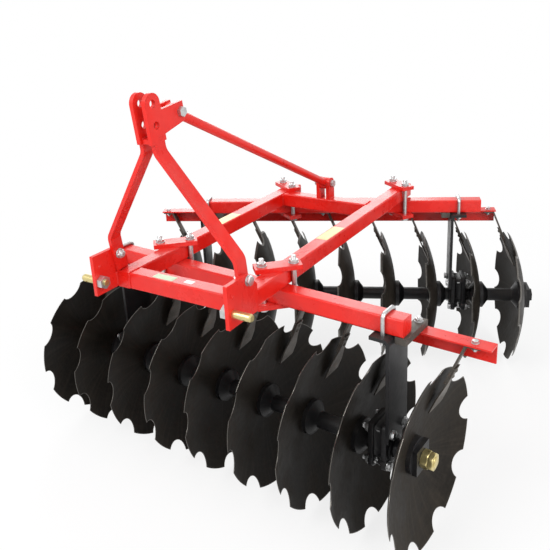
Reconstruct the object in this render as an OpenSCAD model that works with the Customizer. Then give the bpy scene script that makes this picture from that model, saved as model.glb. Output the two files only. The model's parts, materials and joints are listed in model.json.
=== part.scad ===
// Mounted offset disc harrow: a red box-tube frame with a three-point mast carries two
// gangs of notched discs, set at opposite angles. All sizes in millimetres, +Z up,
// the hitch towards -Y. It stands on its discs, with the floor at z = 0.

/* [Discs] */
// Diameter of a disc over its teeth
disc_d = 510; // [460:10:560]
// Thickness of a disc
disc_t = 4; // [3:0.5:6]
// Radius of the sphere that a disc is dished to
dish_r = 600; // [540:10:700]
// Radius of the flat in the middle of a disc
disc_flat_r = 56; // [54:1:66]
// Notches around a disc
notch_count = 9; // [8:1:12]
// Radius of a notch
notch_r = 43; // [36:1:46]
// Centre of a notch outside the rim
notch_out = 11; // [6:1:14]
// Turn of all the discs beyond the turn that each has as it stands
disc_turn = 0; // [-20:1:20]
// Discs on each gang, an odd number
disc_count = 9; // [7:2:9]
// Distance from disc to disc along the shaft
disc_pitch = 165; // [158:1:180]

/* [Gang shafts] */
// Side of the square shaft
shaft_side = 30; // [24:1:32]
// Radius of a spool between its flanges
spool_r = 25; // [24:0.5:28]
// Radius of a spool's flanges
flange_r = 52; // [44:1:53]
// Thickness of a spool's flange at its edge
flange_t = 14; // [8:1:18]
// Length of the cone from flange to spool
cone_l = 20; // [12:1:26]
// Side of the square washer at each end of the shaft
washer_side = 76; // [60:2:90]
// Thickness of the square washer
washer_t = 14; // [10:1:20]
// Width of the shaft nut across its flats
nut_flats = 46; // [42:1:55]
// Length of the shaft nut
nut_l = 40; // [24:2:50]

/* [Gang beams and frame tubes] */
// Width of every square tube
tube = 50; // [46:1:56]
// Corner radius of the tubes
tube_corner = 5; // [2:0.5:8]
// Height of the gang beams' underside over the shafts
beam_lift = 355; // [345:5:380]
// Gang beam past the bearing at its short end
beam_short_end = 18.5; // [15:0.5:22]
// Front gang beam past the bearing at its long end
front_long_end = 61.5; // [52:0.5:70]
// Rear gang beam past the bearing at its long end
rear_long_end = 75.5; // [66:0.5:84]
// Width of the frame over its side beams
frame_w = 450; // [430:10:480]
// Length of a side beam past the gang beam that it crosses
side_tail = 62; // [60:1:80]

/* [Gang placing] */
// Angle of the front gang, its right end forward
front_angle = 4; // [2:0.5:8]
// Angle of the rear gang, its right end rearward
rear_angle = 24; // [18:0.5:26]
// Front gang line behind the front of the frame, at mid width
front_gang_y = 225; // [210:5:250]
// Rear gang line behind the front of the frame, at mid width
rear_gang_y = 1025; // [1015:5:1060]
// Middle disc's seat from mid width on the front gang
front_disc_shift = -39; // [-45:1:-33]
// Middle disc's seat from mid width on the rear gang
rear_disc_shift = -43; // [-48:1:-36]
// Place of mid width along X
centre_x = -35; // [-80:1:0]
// Place of the front of the frame along Y
front_y = -723; // [-800:1:-600]

/* [Bearings and hangers] */
// Width of a bearing housing along the shaft
housing_w = 56; // [44:2:58]
// Radius of a bearing housing
housing_r = 52; // [44:1:56]
// Width of the lug on a bearing housing
lug_w = 100; // [90:2:104]
// Height of the lug's top over the shaft
lug_top = 88; // [80:1:96]
// Corner radius of the lug
lug_corner = 12; // [6:1:20]
// Thickness of a hanger plate
hanger_t = 10; // [8:1:12]
// Width of a hanger plate
hanger_w = 110; // [104:2:116]
// Height of a hanger plate's lower end over the shaft
hanger_foot_z = 44; // [40:1:60]
// Length of a hanger's foot under the beam
foot_l = 58; // [52:1:62]
// Outer radius of a hanger's bend
bend_r = 18; // [14:1:24]
// Radius of the round rod of the U-bolts
u_rod_r = 6; // [5:0.5:7]
// Length of a U-bolt's thread below the foot
u_thread = 20; // [16:1:28]

/* [Scrapers] */
// Width of a scraper arm along the beam
arm_w = 32; // [24:1:36]
// Thickness of a scraper arm
arm_t = 20; // [18:1:24]
// Width of the scraper bar's top leg
bar_leg = 45; // [42:1:50]
// Depth of the scraper bar's upright leg
bar_drop = 56; // [42:1:60]
// Thickness of the scraper bar's legs
bar_t = 5; // [4:0.5:6]
// Front edge of the scraper bar behind the gang line
bar_gap = 62; // [60:1:66]
// Scraper bar past the last disc's rim on the front gang
front_bar_lead = 125; // [110:1:140]
// Scraper bar past the last disc's rim on the rear gang
rear_bar_lead = 98; // [98:1:110]
// Width of a scraper
scraper_w = 30; // [24:1:34]
// Thickness of a scraper
scraper_t = 6; // [4:0.5:7]
// Length of a scraper's foot
scraper_foot = 40; // [34:1:44]
// Height of a scraper's tip over the shaft
tip_z = 200; // [195:1:206]
// Gap between a scraper's tip and the rim plane of its disc
tip_gap = 0; // [0:0.5:4]
// Lean of a scraper
scraper_lean = 22.5; // [21:0.5:25]

/* [Beam clamps] */
// Thickness of the clamp plates
clamp_t = 14; // [10:1:18]
// Width of the clamp plates
clamp_w = 50; // [40:1:56]
// Length of a clamp plate past its bolts
clamp_end = 22; // [18:1:28]
// Radius of the clamp bolts
bolt_r = 8; // [6:0.5:9]
// Width across the flats of the bolt heads and nuts
bolt_flats = 24; // [20:1:27]
// Height of the bolt heads and nuts
bolt_head = 11; // [8:1:14]
// Thread of the clamp bolts below their nuts
bolt_tail = 12; // [6:1:16]

/* [Hitch] */
// Thickness of the hitch plates
plate_t = 12; // [10:1:16]
// Hitch plate's front edge ahead of the frame
plate_front = 82; // [80:1:90]
// Hitch plate's rear edge behind the front of the frame
plate_rear = 50; // [44:1:56]
// Height of the hitch plates above the side beams
plate_rise = 70; // [64:1:80]
// Side of the bevel at the top rear corner of the hitch plates
plate_bevel = 42; // [30:1:44]
// Radius of the lower link pins
pin_r = 11; // [10:0.5:14]
// Length of the lower link pins outside the plates
pin_l = 57; // [50:1:70]
// Radius of the threaded shank of the lower link pins
pin_shank_r = 9; // [8:0.5:9.5]
// Radius of the cross hole near the tip of a link pin
pin_hole_r = 4.5; // [4:0.5:5.5]
// Distance of the cross hole from the tip of a link pin
pin_hole_end = 19; // [15:1:24]
// Turn of the cross hole about a link pin
pin_hole_turn = 45; // [0:5:90]
// Length of the cone at the tip of a link pin
pin_cone = 5; // [3:1:7]
// Thread of a link pin past its nut
pin_tail = 5; // [3:1:9]
// Lower link pins ahead of the frame
pin_front = 62; // [58:1:64]
// Lower link pins above the underside of the side beams
pin_rise = 39; // [34:1:44]
// Width across the flats of the pin nuts
pin_nut = 34; // [30:1:36]
// Length of the pin nuts
pin_nut_l = 18; // [12:1:22]

/* [Mast] */
// Thickness of the mast bars
mast_t = 12; // [10:1:14]
// Width of the mast bars
mast_w = 40; // [36:1:46]
// Forward lean of the mast
mast_lean = 7; // [5:0.5:9]
// Mast's foot bolts behind the front of the frame
mast_y = 10; // [4:1:14]
// Mast's foot bolts above the side beams
mast_bolt_rise = 52; // [48:1:56]
// Mast bars' first bend above the foot bolts
mast_bend = 58; // [40:2:80]
// Fork above the foot bolts
fork_z = 331; // [310:1:350]
// Upper top-link hole above the foot bolts
link_hole_z = 455; // [440:5:480]
// Distance between the two top-link holes
link_hole_pitch = 55; // [50:1:60]
// Radius of the top-link holes
link_hole_r = 10; // [9:0.5:11]
// Gap between the mast's two ears
ear_gap = 28; // [26:1:40]
// Radius of the top of an ear
ear_r = 27; // [25:1:32]
// Stay bolt behind the middle of an ear
nose_l = 97; // [90:1:104]
// Stay bolt below the upper top-link hole
nose_drop = 48; // [44:1:52]
// Height of the ear's nose above and below the stay bolt
nose_half = 26; // [22:1:28]
// Ear's nose past the stay bolt
nose_end = 14; // [13:1:20]
// Radius of the stay tube
stay_r = 13.5; // [11:0.5:13.5]
// Radius of the stay's eyes
eye_r = 22; // [20:1:24]
// Stay bolt above the rear cross beam
bracket_rise = 57; // [50:1:64]
// Thickness of the stay bracket's lugs
bracket_t = 12; // [8:1:14]
// Radius of the stay bolts
stay_bolt_r = 8; // [6:0.5:9]

/* [Fits] */
// Clearance between flat faces that slide into each other
slip = 0.2; // [0.1:0.05:0.4]
// Clearance round a bolt, pin or rod in its hole
hole_fit = 0.1; // [0.05:0.05:0.3]
// Clearance of a spool in its bearing
run_fit = 0.08; // [0.05:0.01:0.1]
// Clearance of a round rod beside a tube
rod_gap = 0.3; // [0.2:0.1:0.5]

/* [Hidden] */
$fn = 72;
dish_fn = 180;
hexagon = 6;
eps = 1;
steps_per_bend = 6;

axis_z = disc_d / 2;
beam_z = axis_z + beam_lift;
side_z = beam_z + tube;
side_top = side_z + tube;
side_x = (frame_w - tube) / 2;
inner_x = frame_w / 2 - tube;

sphere_z = sqrt(dish_r * dish_r - disc_flat_r * disc_flat_r);
rim_in = sphere_z - sqrt(dish_r * dish_r - axis_z * axis_z);
rim_deep = sphere_z - sqrt(pow(dish_r - disc_t, 2) - axis_z * axis_z);
spool_l = disc_pitch - disc_t;
middle = (disc_count - 1) / 2;
outer_spool = disc_count - 2;
inner_spool = 1;

hanger_x = housing_w / 2;
foot_x = hanger_x + hanger_t - foot_l;
u_bolt_x = hanger_x + hanger_t - bend_r - 2 * u_rod_r;
u_leg_y = tube / 2 + u_rod_r + rod_gap;
u_top_z = beam_z + tube + u_rod_r + rod_gap;
u_corner = 2 * u_rod_r;

bar_top = beam_z - arm_t;
scraper_y = bar_gap + (bar_leg - bar_t) / 2;

clamp_reach = tube / 2 + bolt_r + eps;
rear_clamp_y = crossing_y(rear_gang_y, rear_angle, -side_x) + clamp_bolt(rear_angle, -1)[1];
rear_cross_y = rear_clamp_y - bolt_r - eps - tube;
mast_z = side_top + mast_bolt_rise;
ear_x = ear_gap / 2;
ear_z = fork_z + 2 * mast_t;
nose_z = link_hole_z - nose_drop;
stay_front_y = mast_y + nose_l * cos(mast_lean) - nose_z * sin(mast_lean);
stay_front_z = mast_z + nose_l * sin(mast_lean) + nose_z * cos(mast_lean);
stay_rear_y = rear_cross_y + tube / 2;
stay_rear_z = side_top + bracket_rise;
stay_l = norm([stay_rear_y - stay_front_y, stay_front_z - stay_rear_z]);
stay_slope = atan2(stay_front_z - stay_rear_z, stay_rear_y - stay_front_y);
eye_w = ear_gap - 2 * rod_gap;

red = [0.80, 0.09, 0.07];
black = [0.12, 0.12, 0.13];
dark_steel = [0.20, 0.18, 0.16];
zinc = [0.75, 0.75, 0.73];
yellow_zinc = [0.78, 0.68, 0.35];

// Frames of reference

module in_frame() translate([centre_x, front_y, 0]) children();

module at_front_gang() in_frame() translate([0, front_gang_y, 0])
    rotate([0, 0, -front_angle]) children();

module at_rear_gang() in_frame() translate([0, rear_gang_y, 0])
    rotate([0, 0, rear_angle]) mirror([1, 0, 0]) children();

module at_mast() in_frame() translate([0, mast_y, mast_z]) rotate([mast_lean, 0, 0]) children();

module both_sides() for (side = [0, 1]) mirror([side, 0, 0]) children();

// Basic shapes

module rounded_square(w, r) {
    square([w, w - 2 * r], center = true);
    square([w - 2 * r, w], center = true);
    for (x = [-1, 1], y = [-1, 1])
        translate([x, y] * (w / 2 - r)) circle(r);
}

module tube_along_x(l) rotate([90, 0, 90]) linear_extrude(l) rounded_square(tube, tube_corner);

module tube_along_y(l) rotate([-90, 0, 0]) linear_extrude(l) rounded_square(tube, tube_corner);

// A flat outline in Y and Z, thickened along X
module sheet_x(t) rotate([90, 0, 90]) linear_extrude(t) children();

// A flat outline in X and Z, thickened both ways along Y
module sheet_y(w) rotate([90, 0, 0]) linear_extrude(w, center = true) children();

module hex_prism(flats, h) cylinder(d = flats / cos(30), h = h, $fn = hexagon);

// Frame

function crossing_y(gang_y, angle, x) = gang_y + x * tan(angle);

module side_beam(x, l) color(red) in_frame()
    translate([x, 0, side_z + tube / 2]) tube_along_y(l);

module left_side_beam()
    side_beam(-side_x, crossing_y(rear_gang_y, rear_angle, -side_x) + side_tail);

module right_side_beam()
    side_beam(side_x, crossing_y(rear_gang_y, rear_angle, side_x) + side_tail);

module cross_beam(y) color(red) in_frame()
    translate([-inner_x, y + tube / 2, side_z + tube / 2]) tube_along_x(2 * inner_x);

module front_cross_beam() cross_beam(0);

module rear_cross_beam() cross_beam(rear_cross_y);

// Hitch

module hitch_outline() {
    top = side_top + plate_rise;
    difference() {
        polygon([
            [-plate_front, side_z], [plate_rear, side_z], [plate_rear, top - plate_bevel],
            [plate_rear - plate_bevel, top], [-plate_front, top]
        ]);
        translate([-pin_front, side_z + pin_rise]) circle(pin_shank_r + hole_fit);
        translate([mast_y, mast_z]) circle(stay_bolt_r + hole_fit);
    }
}

module hitch_plate() color(red) translate([frame_w / 2, 0, 0]) sheet_x(plate_t) hitch_outline();

module left_hitch_plate() in_frame() mirror([1, 0, 0]) hitch_plate();

module right_hitch_plate() in_frame() hitch_plate();

module at_link_pin() translate([frame_w / 2, -pin_front, side_z + pin_rise])
    rotate([0, 90, 0]) children();

module link_pin() color(yellow_zinc) at_link_pin() difference() {
    tip = plate_t + pin_l;
    union() {
        translate([0, 0, -pin_nut_l - pin_tail])
            cylinder(r = pin_shank_r, h = plate_t + pin_nut_l + pin_tail);
        translate([0, 0, plate_t]) cylinder(r = pin_r, h = pin_l - pin_cone);
        translate([0, 0, tip - pin_cone])
            cylinder(r1 = pin_r, r2 = pin_r - pin_cone / 2, h = pin_cone);
    }
    translate([0, 0, tip - pin_hole_end]) rotate([90, 0, pin_hole_turn])
        cylinder(r = pin_hole_r, h = 4 * pin_r, center = true);
}

module left_link_pin() in_frame() mirror([1, 0, 0]) link_pin();

module right_link_pin() in_frame() link_pin();

module link_pin_nuts() color(zinc) in_frame() both_sides() at_link_pin()
    translate([0, 0, -pin_nut_l]) difference() {
        hex_prism(pin_nut, pin_nut_l);
        translate([0, 0, -eps]) cylinder(r = pin_shank_r + hole_fit, h = pin_nut_l + 2 * eps);
    }

// Mast

// Points on a bend from direction a to direction b about a centre line, at offset d
function bend(p, a, b, r, d) = let (
        turn = b - a,
        reach = r * tan(abs(turn) / 2),
        side = sign(turn),
        centre = p - reach * [cos(a), sin(a)] + side * r * [-sin(a), cos(a)]
    ) [for (i = [0 : steps_per_bend])
        let (g = a + turn * i / steps_per_bend)
        centre - side * (r - side * d) * [-sin(g), cos(g)]];

function reversed(list) = [for (i = [len(list) - 1 : -1 : 0]) list[i]];

module mast_strip() {
    foot = frame_w / 2 - mast_t / 2;
    top = ear_x + mast_t / 2;
    slope = atan2(fork_z - mast_bend, top - foot);
    up = 90;
    round = 3 * mast_t;
    start = eps - mast_bolt_rise + mast_w / 2 * tan(mast_lean);
    half = mast_t / 2;
    left = concat(
        [[foot - half, start]],
        bend([foot, mast_bend], up, slope, round, half),
        bend([top, fork_z], slope, up, round, half),
        [[top - half, ear_z]]);
    right = concat(
        [[foot + half, start]],
        bend([foot, mast_bend], up, slope, round, -half),
        bend([top, fork_z], slope, up, round, -half),
        [[top + half, ear_z]]);
    polygon(concat(left, reversed(right)));
}

module ear_outline() {
    difference() {
        union() {
            translate([-ear_r, ear_z]) square([2 * ear_r, link_hole_z - ear_z]);
            translate([0, link_hole_z]) circle(ear_r);
            polygon([[0, ear_z + mast_t], [nose_l + nose_end, nose_z - nose_half],
                     [nose_l + nose_end, nose_z + nose_half], [0, nose_z + nose_half]]);
        }
        translate([0, link_hole_z]) circle(link_hole_r);
        translate([0, link_hole_z - link_hole_pitch]) circle(link_hole_r);
        translate([nose_l, nose_z]) circle(stay_bolt_r + hole_fit);
    }
}

module mast_bar() color(red) difference() {
    union() {
        sheet_y(mast_w) mast_strip();
        translate([ear_x, 0, 0]) sheet_x(mast_t) ear_outline();
    }
    translate([frame_w / 2 - mast_t - eps, 0, 0]) rotate([0, 90, 0])
        cylinder(r = stay_bolt_r + hole_fit, h = mast_t + 2 * eps);
}

module left_mast_bar() at_mast() mirror([1, 0, 0]) mast_bar();

module right_mast_bar() at_mast() mast_bar();

module mast_gusset() color(red) at_mast()
    translate([-ear_x, -mast_w / 2, ear_z]) cube([ear_gap, mast_w, mast_t]);

// Along X from the front bolt to the rear one, before it is tilted down
module stay_shape() difference() {
    union() {
        rotate([0, 90, 0]) cylinder(r = stay_r, h = stay_l);
        for (x = [0, stay_l]) translate([x, 0, 0]) rotate([90, 0, 0])
            cylinder(r = eye_r, h = eye_w, center = true);
    }
    for (x = [0, stay_l]) translate([x, 0, 0]) rotate([90, 0, 0])
        cylinder(r = stay_bolt_r + hole_fit, h = 2 * ear_gap, center = true);
}

module mast_stay() color(red) in_frame() translate([0, stay_front_y, stay_front_z])
    rotate([-stay_slope, 0, 0]) rotate([0, 0, 90]) stay_shape();

module bracket_outline() {
    difference() {
        union() {
            translate([stay_rear_y - eye_r, side_top]) square([2 * eye_r, bracket_rise]);
            translate([stay_rear_y, stay_rear_z]) circle(eye_r);
        }
        translate([stay_rear_y, stay_rear_z]) circle(stay_bolt_r + hole_fit);
    }
}

module stay_bracket() color(red) in_frame() both_sides()
    translate([ear_x, 0, 0]) sheet_x(bracket_t) bracket_outline();

// A bolt along X through two lugs, head and nut against their outer faces
module cross_bolt(width) rotate([0, 90, 0]) {
    cylinder(r = stay_bolt_r, h = width, center = true);
    for (side = [0, 1]) mirror([0, 0, side]) translate([0, 0, width / 2])
        hex_prism(bolt_flats, bolt_head);
}

module stay_bolts() color(zinc) {
    at_mast() translate([0, nose_l, nose_z]) cross_bolt(ear_gap + 2 * mast_t);
    in_frame() translate([0, stay_rear_y, stay_rear_z]) cross_bolt(ear_gap + 2 * bracket_t);
}

// Gang beams and their clamps

module gang_beam(shift, inner_end, outer_end) color(red) {
    start = bearing_x(shift, inner_spool) - inner_end;
    l = bearing_x(shift, outer_spool) + outer_end - start;
    translate([start, 0, beam_z + tube / 2]) tube_along_x(l);
}

module front_gang_beam() at_front_gang()
    gang_beam(front_disc_shift, beam_short_end, front_long_end);

module rear_gang_beam() at_rear_gang()
    gang_beam(rear_disc_shift, rear_long_end, beam_short_end);

// Bolt clear of both beams, seen from where they cross. The gang beam lies at an angle
// to X, and the bolt is behind it for side = 1 and ahead of it for side = -1.
function clamp_bolt(angle, side) =
    [clamp_reach, (side * clamp_reach + clamp_reach * sin(angle)) / cos(angle)];

module at_crossings(gang_y, angle) in_frame() for (x = [-side_x, side_x])
    translate([x, crossing_y(gang_y, angle, x), 0]) children();

module clamp_plate(bolt) {
    reach = norm(bolt);
    rotate([0, 0, atan2(bolt[1], bolt[0])]) difference() {
        translate([-reach - clamp_end, -clamp_w / 2, 0])
            cube([2 * (reach + clamp_end), clamp_w, clamp_t]);
        for (x = [-reach, reach]) translate([x, 0, -eps])
            cylinder(r = bolt_r + hole_fit, h = clamp_t + 2 * eps);
    }
}

module clamp_plates(gang_y, angle, side) color(red) at_crossings(gang_y, angle)
    for (z = [side_top, beam_z - clamp_t])
        translate([0, 0, z]) clamp_plate(clamp_bolt(angle, side));

module clamp_bolts(gang_y, angle, side) color(zinc) at_crossings(gang_y, angle)
    for (turn = [0, 180]) rotate([0, 0, turn]) translate(clamp_bolt(angle, side)) {
        top = side_top + clamp_t;
        bottom = beam_z - clamp_t;
        translate([0, 0, bottom - bolt_head - bolt_tail])
            cylinder(r = bolt_r, h = top - bottom + bolt_head + bolt_tail);
        translate([0, 0, top]) hex_prism(bolt_flats, bolt_head);
        translate([0, 0, bottom - bolt_head]) hex_prism(bolt_flats, bolt_head);
    }

module front_clamp_plates() clamp_plates(front_gang_y, -front_angle, 1);

module rear_clamp_plates() clamp_plates(rear_gang_y, rear_angle, -1);

module front_clamp_bolts() clamp_bolts(front_gang_y, -front_angle, 1);

module rear_clamp_bolts() clamp_bolts(rear_gang_y, rear_angle, -1);

// Bearings, hangers and U-bolts, along the shaft in X with the dishes open towards +X

function seat_x(shift, k) = shift + (k - middle) * disc_pitch;

function rim_x(shift, k) = seat_x(shift, k) + rim_in;

function bearing_x(shift, spool) = seat_x(shift, spool) + disc_t + spool_l / 2;

module housing_outline() {
    circle(housing_r);
    translate([-lug_w / 2, 0]) square([lug_w, lug_top - lug_corner]);
    translate([lug_corner - lug_w / 2, 0]) square([lug_w - 2 * lug_corner, lug_top]);
    for (side = [-1, 1]) translate([side * (lug_w / 2 - lug_corner), lug_top - lug_corner])
        circle(lug_corner);
}

module bearing(x) color(black) translate([x - housing_w / 2, 0, axis_z])
    sheet_x(housing_w) difference() {
        housing_outline();
        circle(spool_r + run_fit);
    }

module hanger_outline() {
    outer = hanger_x + hanger_t;
    translate([foot_x, beam_z - hanger_t]) square([outer - bend_r - foot_x, hanger_t]);
    translate([hanger_x, axis_z + hanger_foot_z])
        square([hanger_t, beam_z - bend_r - axis_z - hanger_foot_z]);
    intersection() {
        translate([outer - bend_r, beam_z - bend_r]) difference() {
            circle(bend_r);
            circle(bend_r - hanger_t);
        }
        translate([outer - bend_r, beam_z - bend_r]) square(bend_r);
    }
}

module hanger(x) color(black) translate([x, 0, 0]) difference() {
    sheet_y(hanger_w) hanger_outline();
    for (side = [-1, 1]) translate([u_bolt_x, side * u_leg_y, beam_z - hanger_t - eps])
        cylinder(r = u_rod_r + hole_fit, h = hanger_t + 2 * eps);
}

module u_bolt(x) translate([x + u_bolt_x, 0, 0]) {
    low = beam_z - hanger_t - u_thread;
    for (side = [-1, 1]) {
        translate([0, side * u_leg_y, low]) cylinder(r = u_rod_r, h = u_top_z - u_corner - low);
        translate([0, side * u_leg_y, beam_z - hanger_t - bolt_head])
            hex_prism(3 * u_rod_r, bolt_head);
    }
    for (turn = [0, 180]) rotate([0, 0, turn])
        translate([0, u_leg_y - u_corner, u_top_z - u_corner]) rotate([90, 0, 90])
            rotate_extrude(angle = 90) translate([u_corner, 0]) circle(u_rod_r);
    translate([0, 0, u_top_z]) rotate([90, 0, 0])
        cylinder(r = u_rod_r, h = 2 * (u_leg_y - u_corner), center = true);
}

module front_outer_bearing() at_front_gang() bearing(bearing_x(front_disc_shift, outer_spool));

module front_inner_bearing() at_front_gang() bearing(bearing_x(front_disc_shift, inner_spool));

module rear_outer_bearing() at_rear_gang() bearing(bearing_x(rear_disc_shift, outer_spool));

module rear_inner_bearing() at_rear_gang() bearing(bearing_x(rear_disc_shift, inner_spool));

module front_outer_hanger() at_front_gang() hanger(bearing_x(front_disc_shift, outer_spool));

module front_inner_hanger() at_front_gang() hanger(bearing_x(front_disc_shift, inner_spool));

module rear_outer_hanger() at_rear_gang() hanger(bearing_x(rear_disc_shift, outer_spool));

module rear_inner_hanger() at_rear_gang() hanger(bearing_x(rear_disc_shift, inner_spool));

module u_bolts(shift) color(zinc) for (spool = [inner_spool, outer_spool])
    u_bolt(bearing_x(shift, spool));

module front_u_bolts() at_front_gang() u_bolts(front_disc_shift);

module rear_u_bolts() at_rear_gang() u_bolts(rear_disc_shift);

// Scrapers

// An arm stands beside a hanger: past its plate for side = 1, before its foot for side = 0
module scraper_arm(x, side) {
    near = side == 1 ? hanger_x + hanger_t + eps : foot_x - eps - arm_w;
    translate([x + near, -tube / 2, bar_top]) cube([arm_w, tube / 2 + bar_gap + bar_leg, arm_t]);
}

module scraper_arms(shift, outer_side) color(dark_steel) {
    scraper_arm(bearing_x(shift, inner_spool), 1);
    scraper_arm(bearing_x(shift, outer_spool), outer_side);
}

module front_scraper_arms() at_front_gang() scraper_arms(front_disc_shift, 1);

module rear_scraper_arms() at_rear_gang() scraper_arms(rear_disc_shift, 0);

// Where a scraper leaves its foot, measured from the rim plane of its disc
scraper_rise = bar_top - bar_t - axis_z - tip_z;
scraper_x = tip_gap + scraper_rise * tan(scraper_lean);

module scraper_bar(shift, lead) color(red) {
    start = rim_x(shift, 0) + scraper_x - scraper_t;
    l = rim_x(shift, disc_count - 1) + lead - start;
    translate([start, bar_gap, bar_top - bar_t]) cube([l, bar_leg, bar_t]);
    translate([start, bar_gap + bar_leg - bar_t, bar_top - bar_drop]) cube([l, bar_t, bar_drop]);
}

module front_scraper_bar() at_front_gang() scraper_bar(front_disc_shift, front_bar_lead);

module rear_scraper_bar() at_rear_gang() scraper_bar(rear_disc_shift, rear_bar_lead);

module scraper_outline() {
    thick = scraper_t / cos(scraper_lean);
    top = bar_top - bar_t;
    tip = axis_z + tip_z;
    polygon([
        [tip_gap, tip], [scraper_x, top], [scraper_x + scraper_foot, top],
        [scraper_x + scraper_foot, top - scraper_t],
        [scraper_x + thick - scraper_t * tan(scraper_lean), top - scraper_t],
        [tip_gap + thick, tip]
    ]);
}

module scrapers(shift) color(dark_steel) for (k = [0 : disc_count - 1])
    translate([rim_x(shift, k), scraper_y, 0]) sheet_y(scraper_w) scraper_outline();

module front_scrapers() at_front_gang() scrapers(front_disc_shift);

module rear_scrapers() at_rear_gang() scrapers(rear_disc_shift);

// Turning gangs

module along_shaft(x) translate([x, 0, axis_z]) rotate([0, 90, 0]) children();

module square_hole(l) translate([0, 0, l / 2])
    cube([shaft_side + 2 * slip, shaft_side + 2 * slip, l + 2 * eps], center = true);

// Half of a dish's section, from its middle out along X
module dish_profile() difference() {
    intersection() {
        translate([0, sphere_z]) circle(dish_r, $fn = dish_fn);
        square([axis_z, 2 * rim_deep]);
    }
    intersection() {
        translate([0, sphere_z]) circle(dish_r - disc_t, $fn = dish_fn);
        translate([0, disc_t]) square([disc_d, 2 * rim_deep]);
    }
}

// A dish about Z, its flat on z = 0 and its hollow towards +Z
module dish(turn) rotate([0, 0, turn]) difference() {
    rotate_extrude($fn = dish_fn) dish_profile();
    for (i = [0 : notch_count - 1]) rotate([0, 0, (i + 0.5) * 360 / notch_count])
        translate([axis_z + notch_out, 0, 0]) cylinder(r = notch_r, h = 2 * rim_deep);
    rotate([0, 0, -turn]) square_hole(disc_t);
}

// Turn of each disc as it stands, in degrees from a tooth straight down
front_turns = [-17.5, -7.5, 8, -12.5, 6.5, -18.5, -0.5, 13, -5];
rear_turns = [-18.5, 18.5, -11, 17.5, 10.5, -15, 4, 19, -8];

module discs(shift, turns) color(dark_steel) for (k = [0 : disc_count - 1])
    along_shaft(seat_x(shift, k)) dish(disc_turn + turns[k]);

module spool() difference() {
    rotate_extrude() polygon([
        [0, 0], [flange_r, 0], [flange_r, flange_t], [spool_r, flange_t + cone_l],
        [spool_r, spool_l - flange_t - cone_l], [flange_r, spool_l - flange_t],
        [flange_r, spool_l], [0, spool_l]
    ]);
    square_hole(spool_l);
}

module spools(shift) color(black) for (k = [0 : disc_count - 2])
    along_shaft(seat_x(shift, k) + disc_t) spool();

module end_cap() difference() {
    union() {
        cylinder(r = flange_r, h = flange_t);
        translate([-washer_side / 2, -washer_side / 2, flange_t])
            cube([washer_side, washer_side, washer_t]);
    }
    square_hole(flange_t + washer_t);
}

module end_caps(shift) color(black) {
    along_shaft(seat_x(shift, disc_count - 1) + disc_t) end_cap();
    along_shaft(seat_x(shift, 0)) mirror([0, 0, 1]) end_cap();
}

// The shaft's square runs from cap to cap, with a head at one end and the nut at the other
module shaft(shift) color(black) {
    start = seat_x(shift, 0) - flange_t - washer_t;
    l = middle * 2 * disc_pitch + disc_t + 2 * (flange_t + washer_t);
    translate([start, -shaft_side / 2, axis_z - shaft_side / 2]) cube([l, shaft_side, shaft_side]);
    along_shaft(start) mirror([0, 0, 1]) hex_prism(nut_flats, bolt_head);
}

module shaft_nut(shift) color(yellow_zinc)
    along_shaft(seat_x(shift, disc_count - 1) + disc_t + flange_t + washer_t)
        hex_prism(nut_flats, nut_l);

module front_shaft() at_front_gang() shaft(front_disc_shift);

module front_discs() at_front_gang() discs(front_disc_shift, front_turns);

module front_spools() at_front_gang() spools(front_disc_shift);

module front_end_caps() at_front_gang() end_caps(front_disc_shift);

module front_shaft_nut() at_front_gang() shaft_nut(front_disc_shift);

module rear_shaft() at_rear_gang() shaft(rear_disc_shift);

module rear_discs() at_rear_gang() discs(rear_disc_shift, rear_turns);

module rear_spools() at_rear_gang() spools(rear_disc_shift);

module rear_end_caps() at_rear_gang() end_caps(rear_disc_shift);

module rear_shaft_nut() at_rear_gang() shaft_nut(rear_disc_shift);

left_side_beam();
right_side_beam();
front_cross_beam();
rear_cross_beam();
left_hitch_plate();
right_hitch_plate();
left_link_pin();
right_link_pin();
link_pin_nuts();
left_mast_bar();
right_mast_bar();
mast_gusset();
mast_stay();
stay_bracket();
stay_bolts();
front_gang_beam();
rear_gang_beam();
front_clamp_plates();
rear_clamp_plates();
front_clamp_bolts();
rear_clamp_bolts();
front_outer_hanger();
front_inner_hanger();
rear_outer_hanger();
rear_inner_hanger();
front_outer_bearing();
front_inner_bearing();
rear_outer_bearing();
rear_inner_bearing();
front_u_bolts();
rear_u_bolts();
front_scraper_arms();
rear_scraper_arms();
front_scraper_bar();
rear_scraper_bar();
front_scrapers();
rear_scrapers();
front_shaft();
front_discs();
front_spools();
front_end_caps();
front_shaft_nut();
rear_shaft();
rear_discs();
rear_spools();
rear_end_caps();
rear_shaft_nut();
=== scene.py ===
"""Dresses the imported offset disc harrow: finishes, added fittings, light and camera."""

from __future__ import annotations

import json
import logging
import math
from dataclasses import dataclass
from enum import Enum
from typing import Iterable, Union

import bpy
import numpy as np
from mathutils import Matrix, Vector

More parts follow.
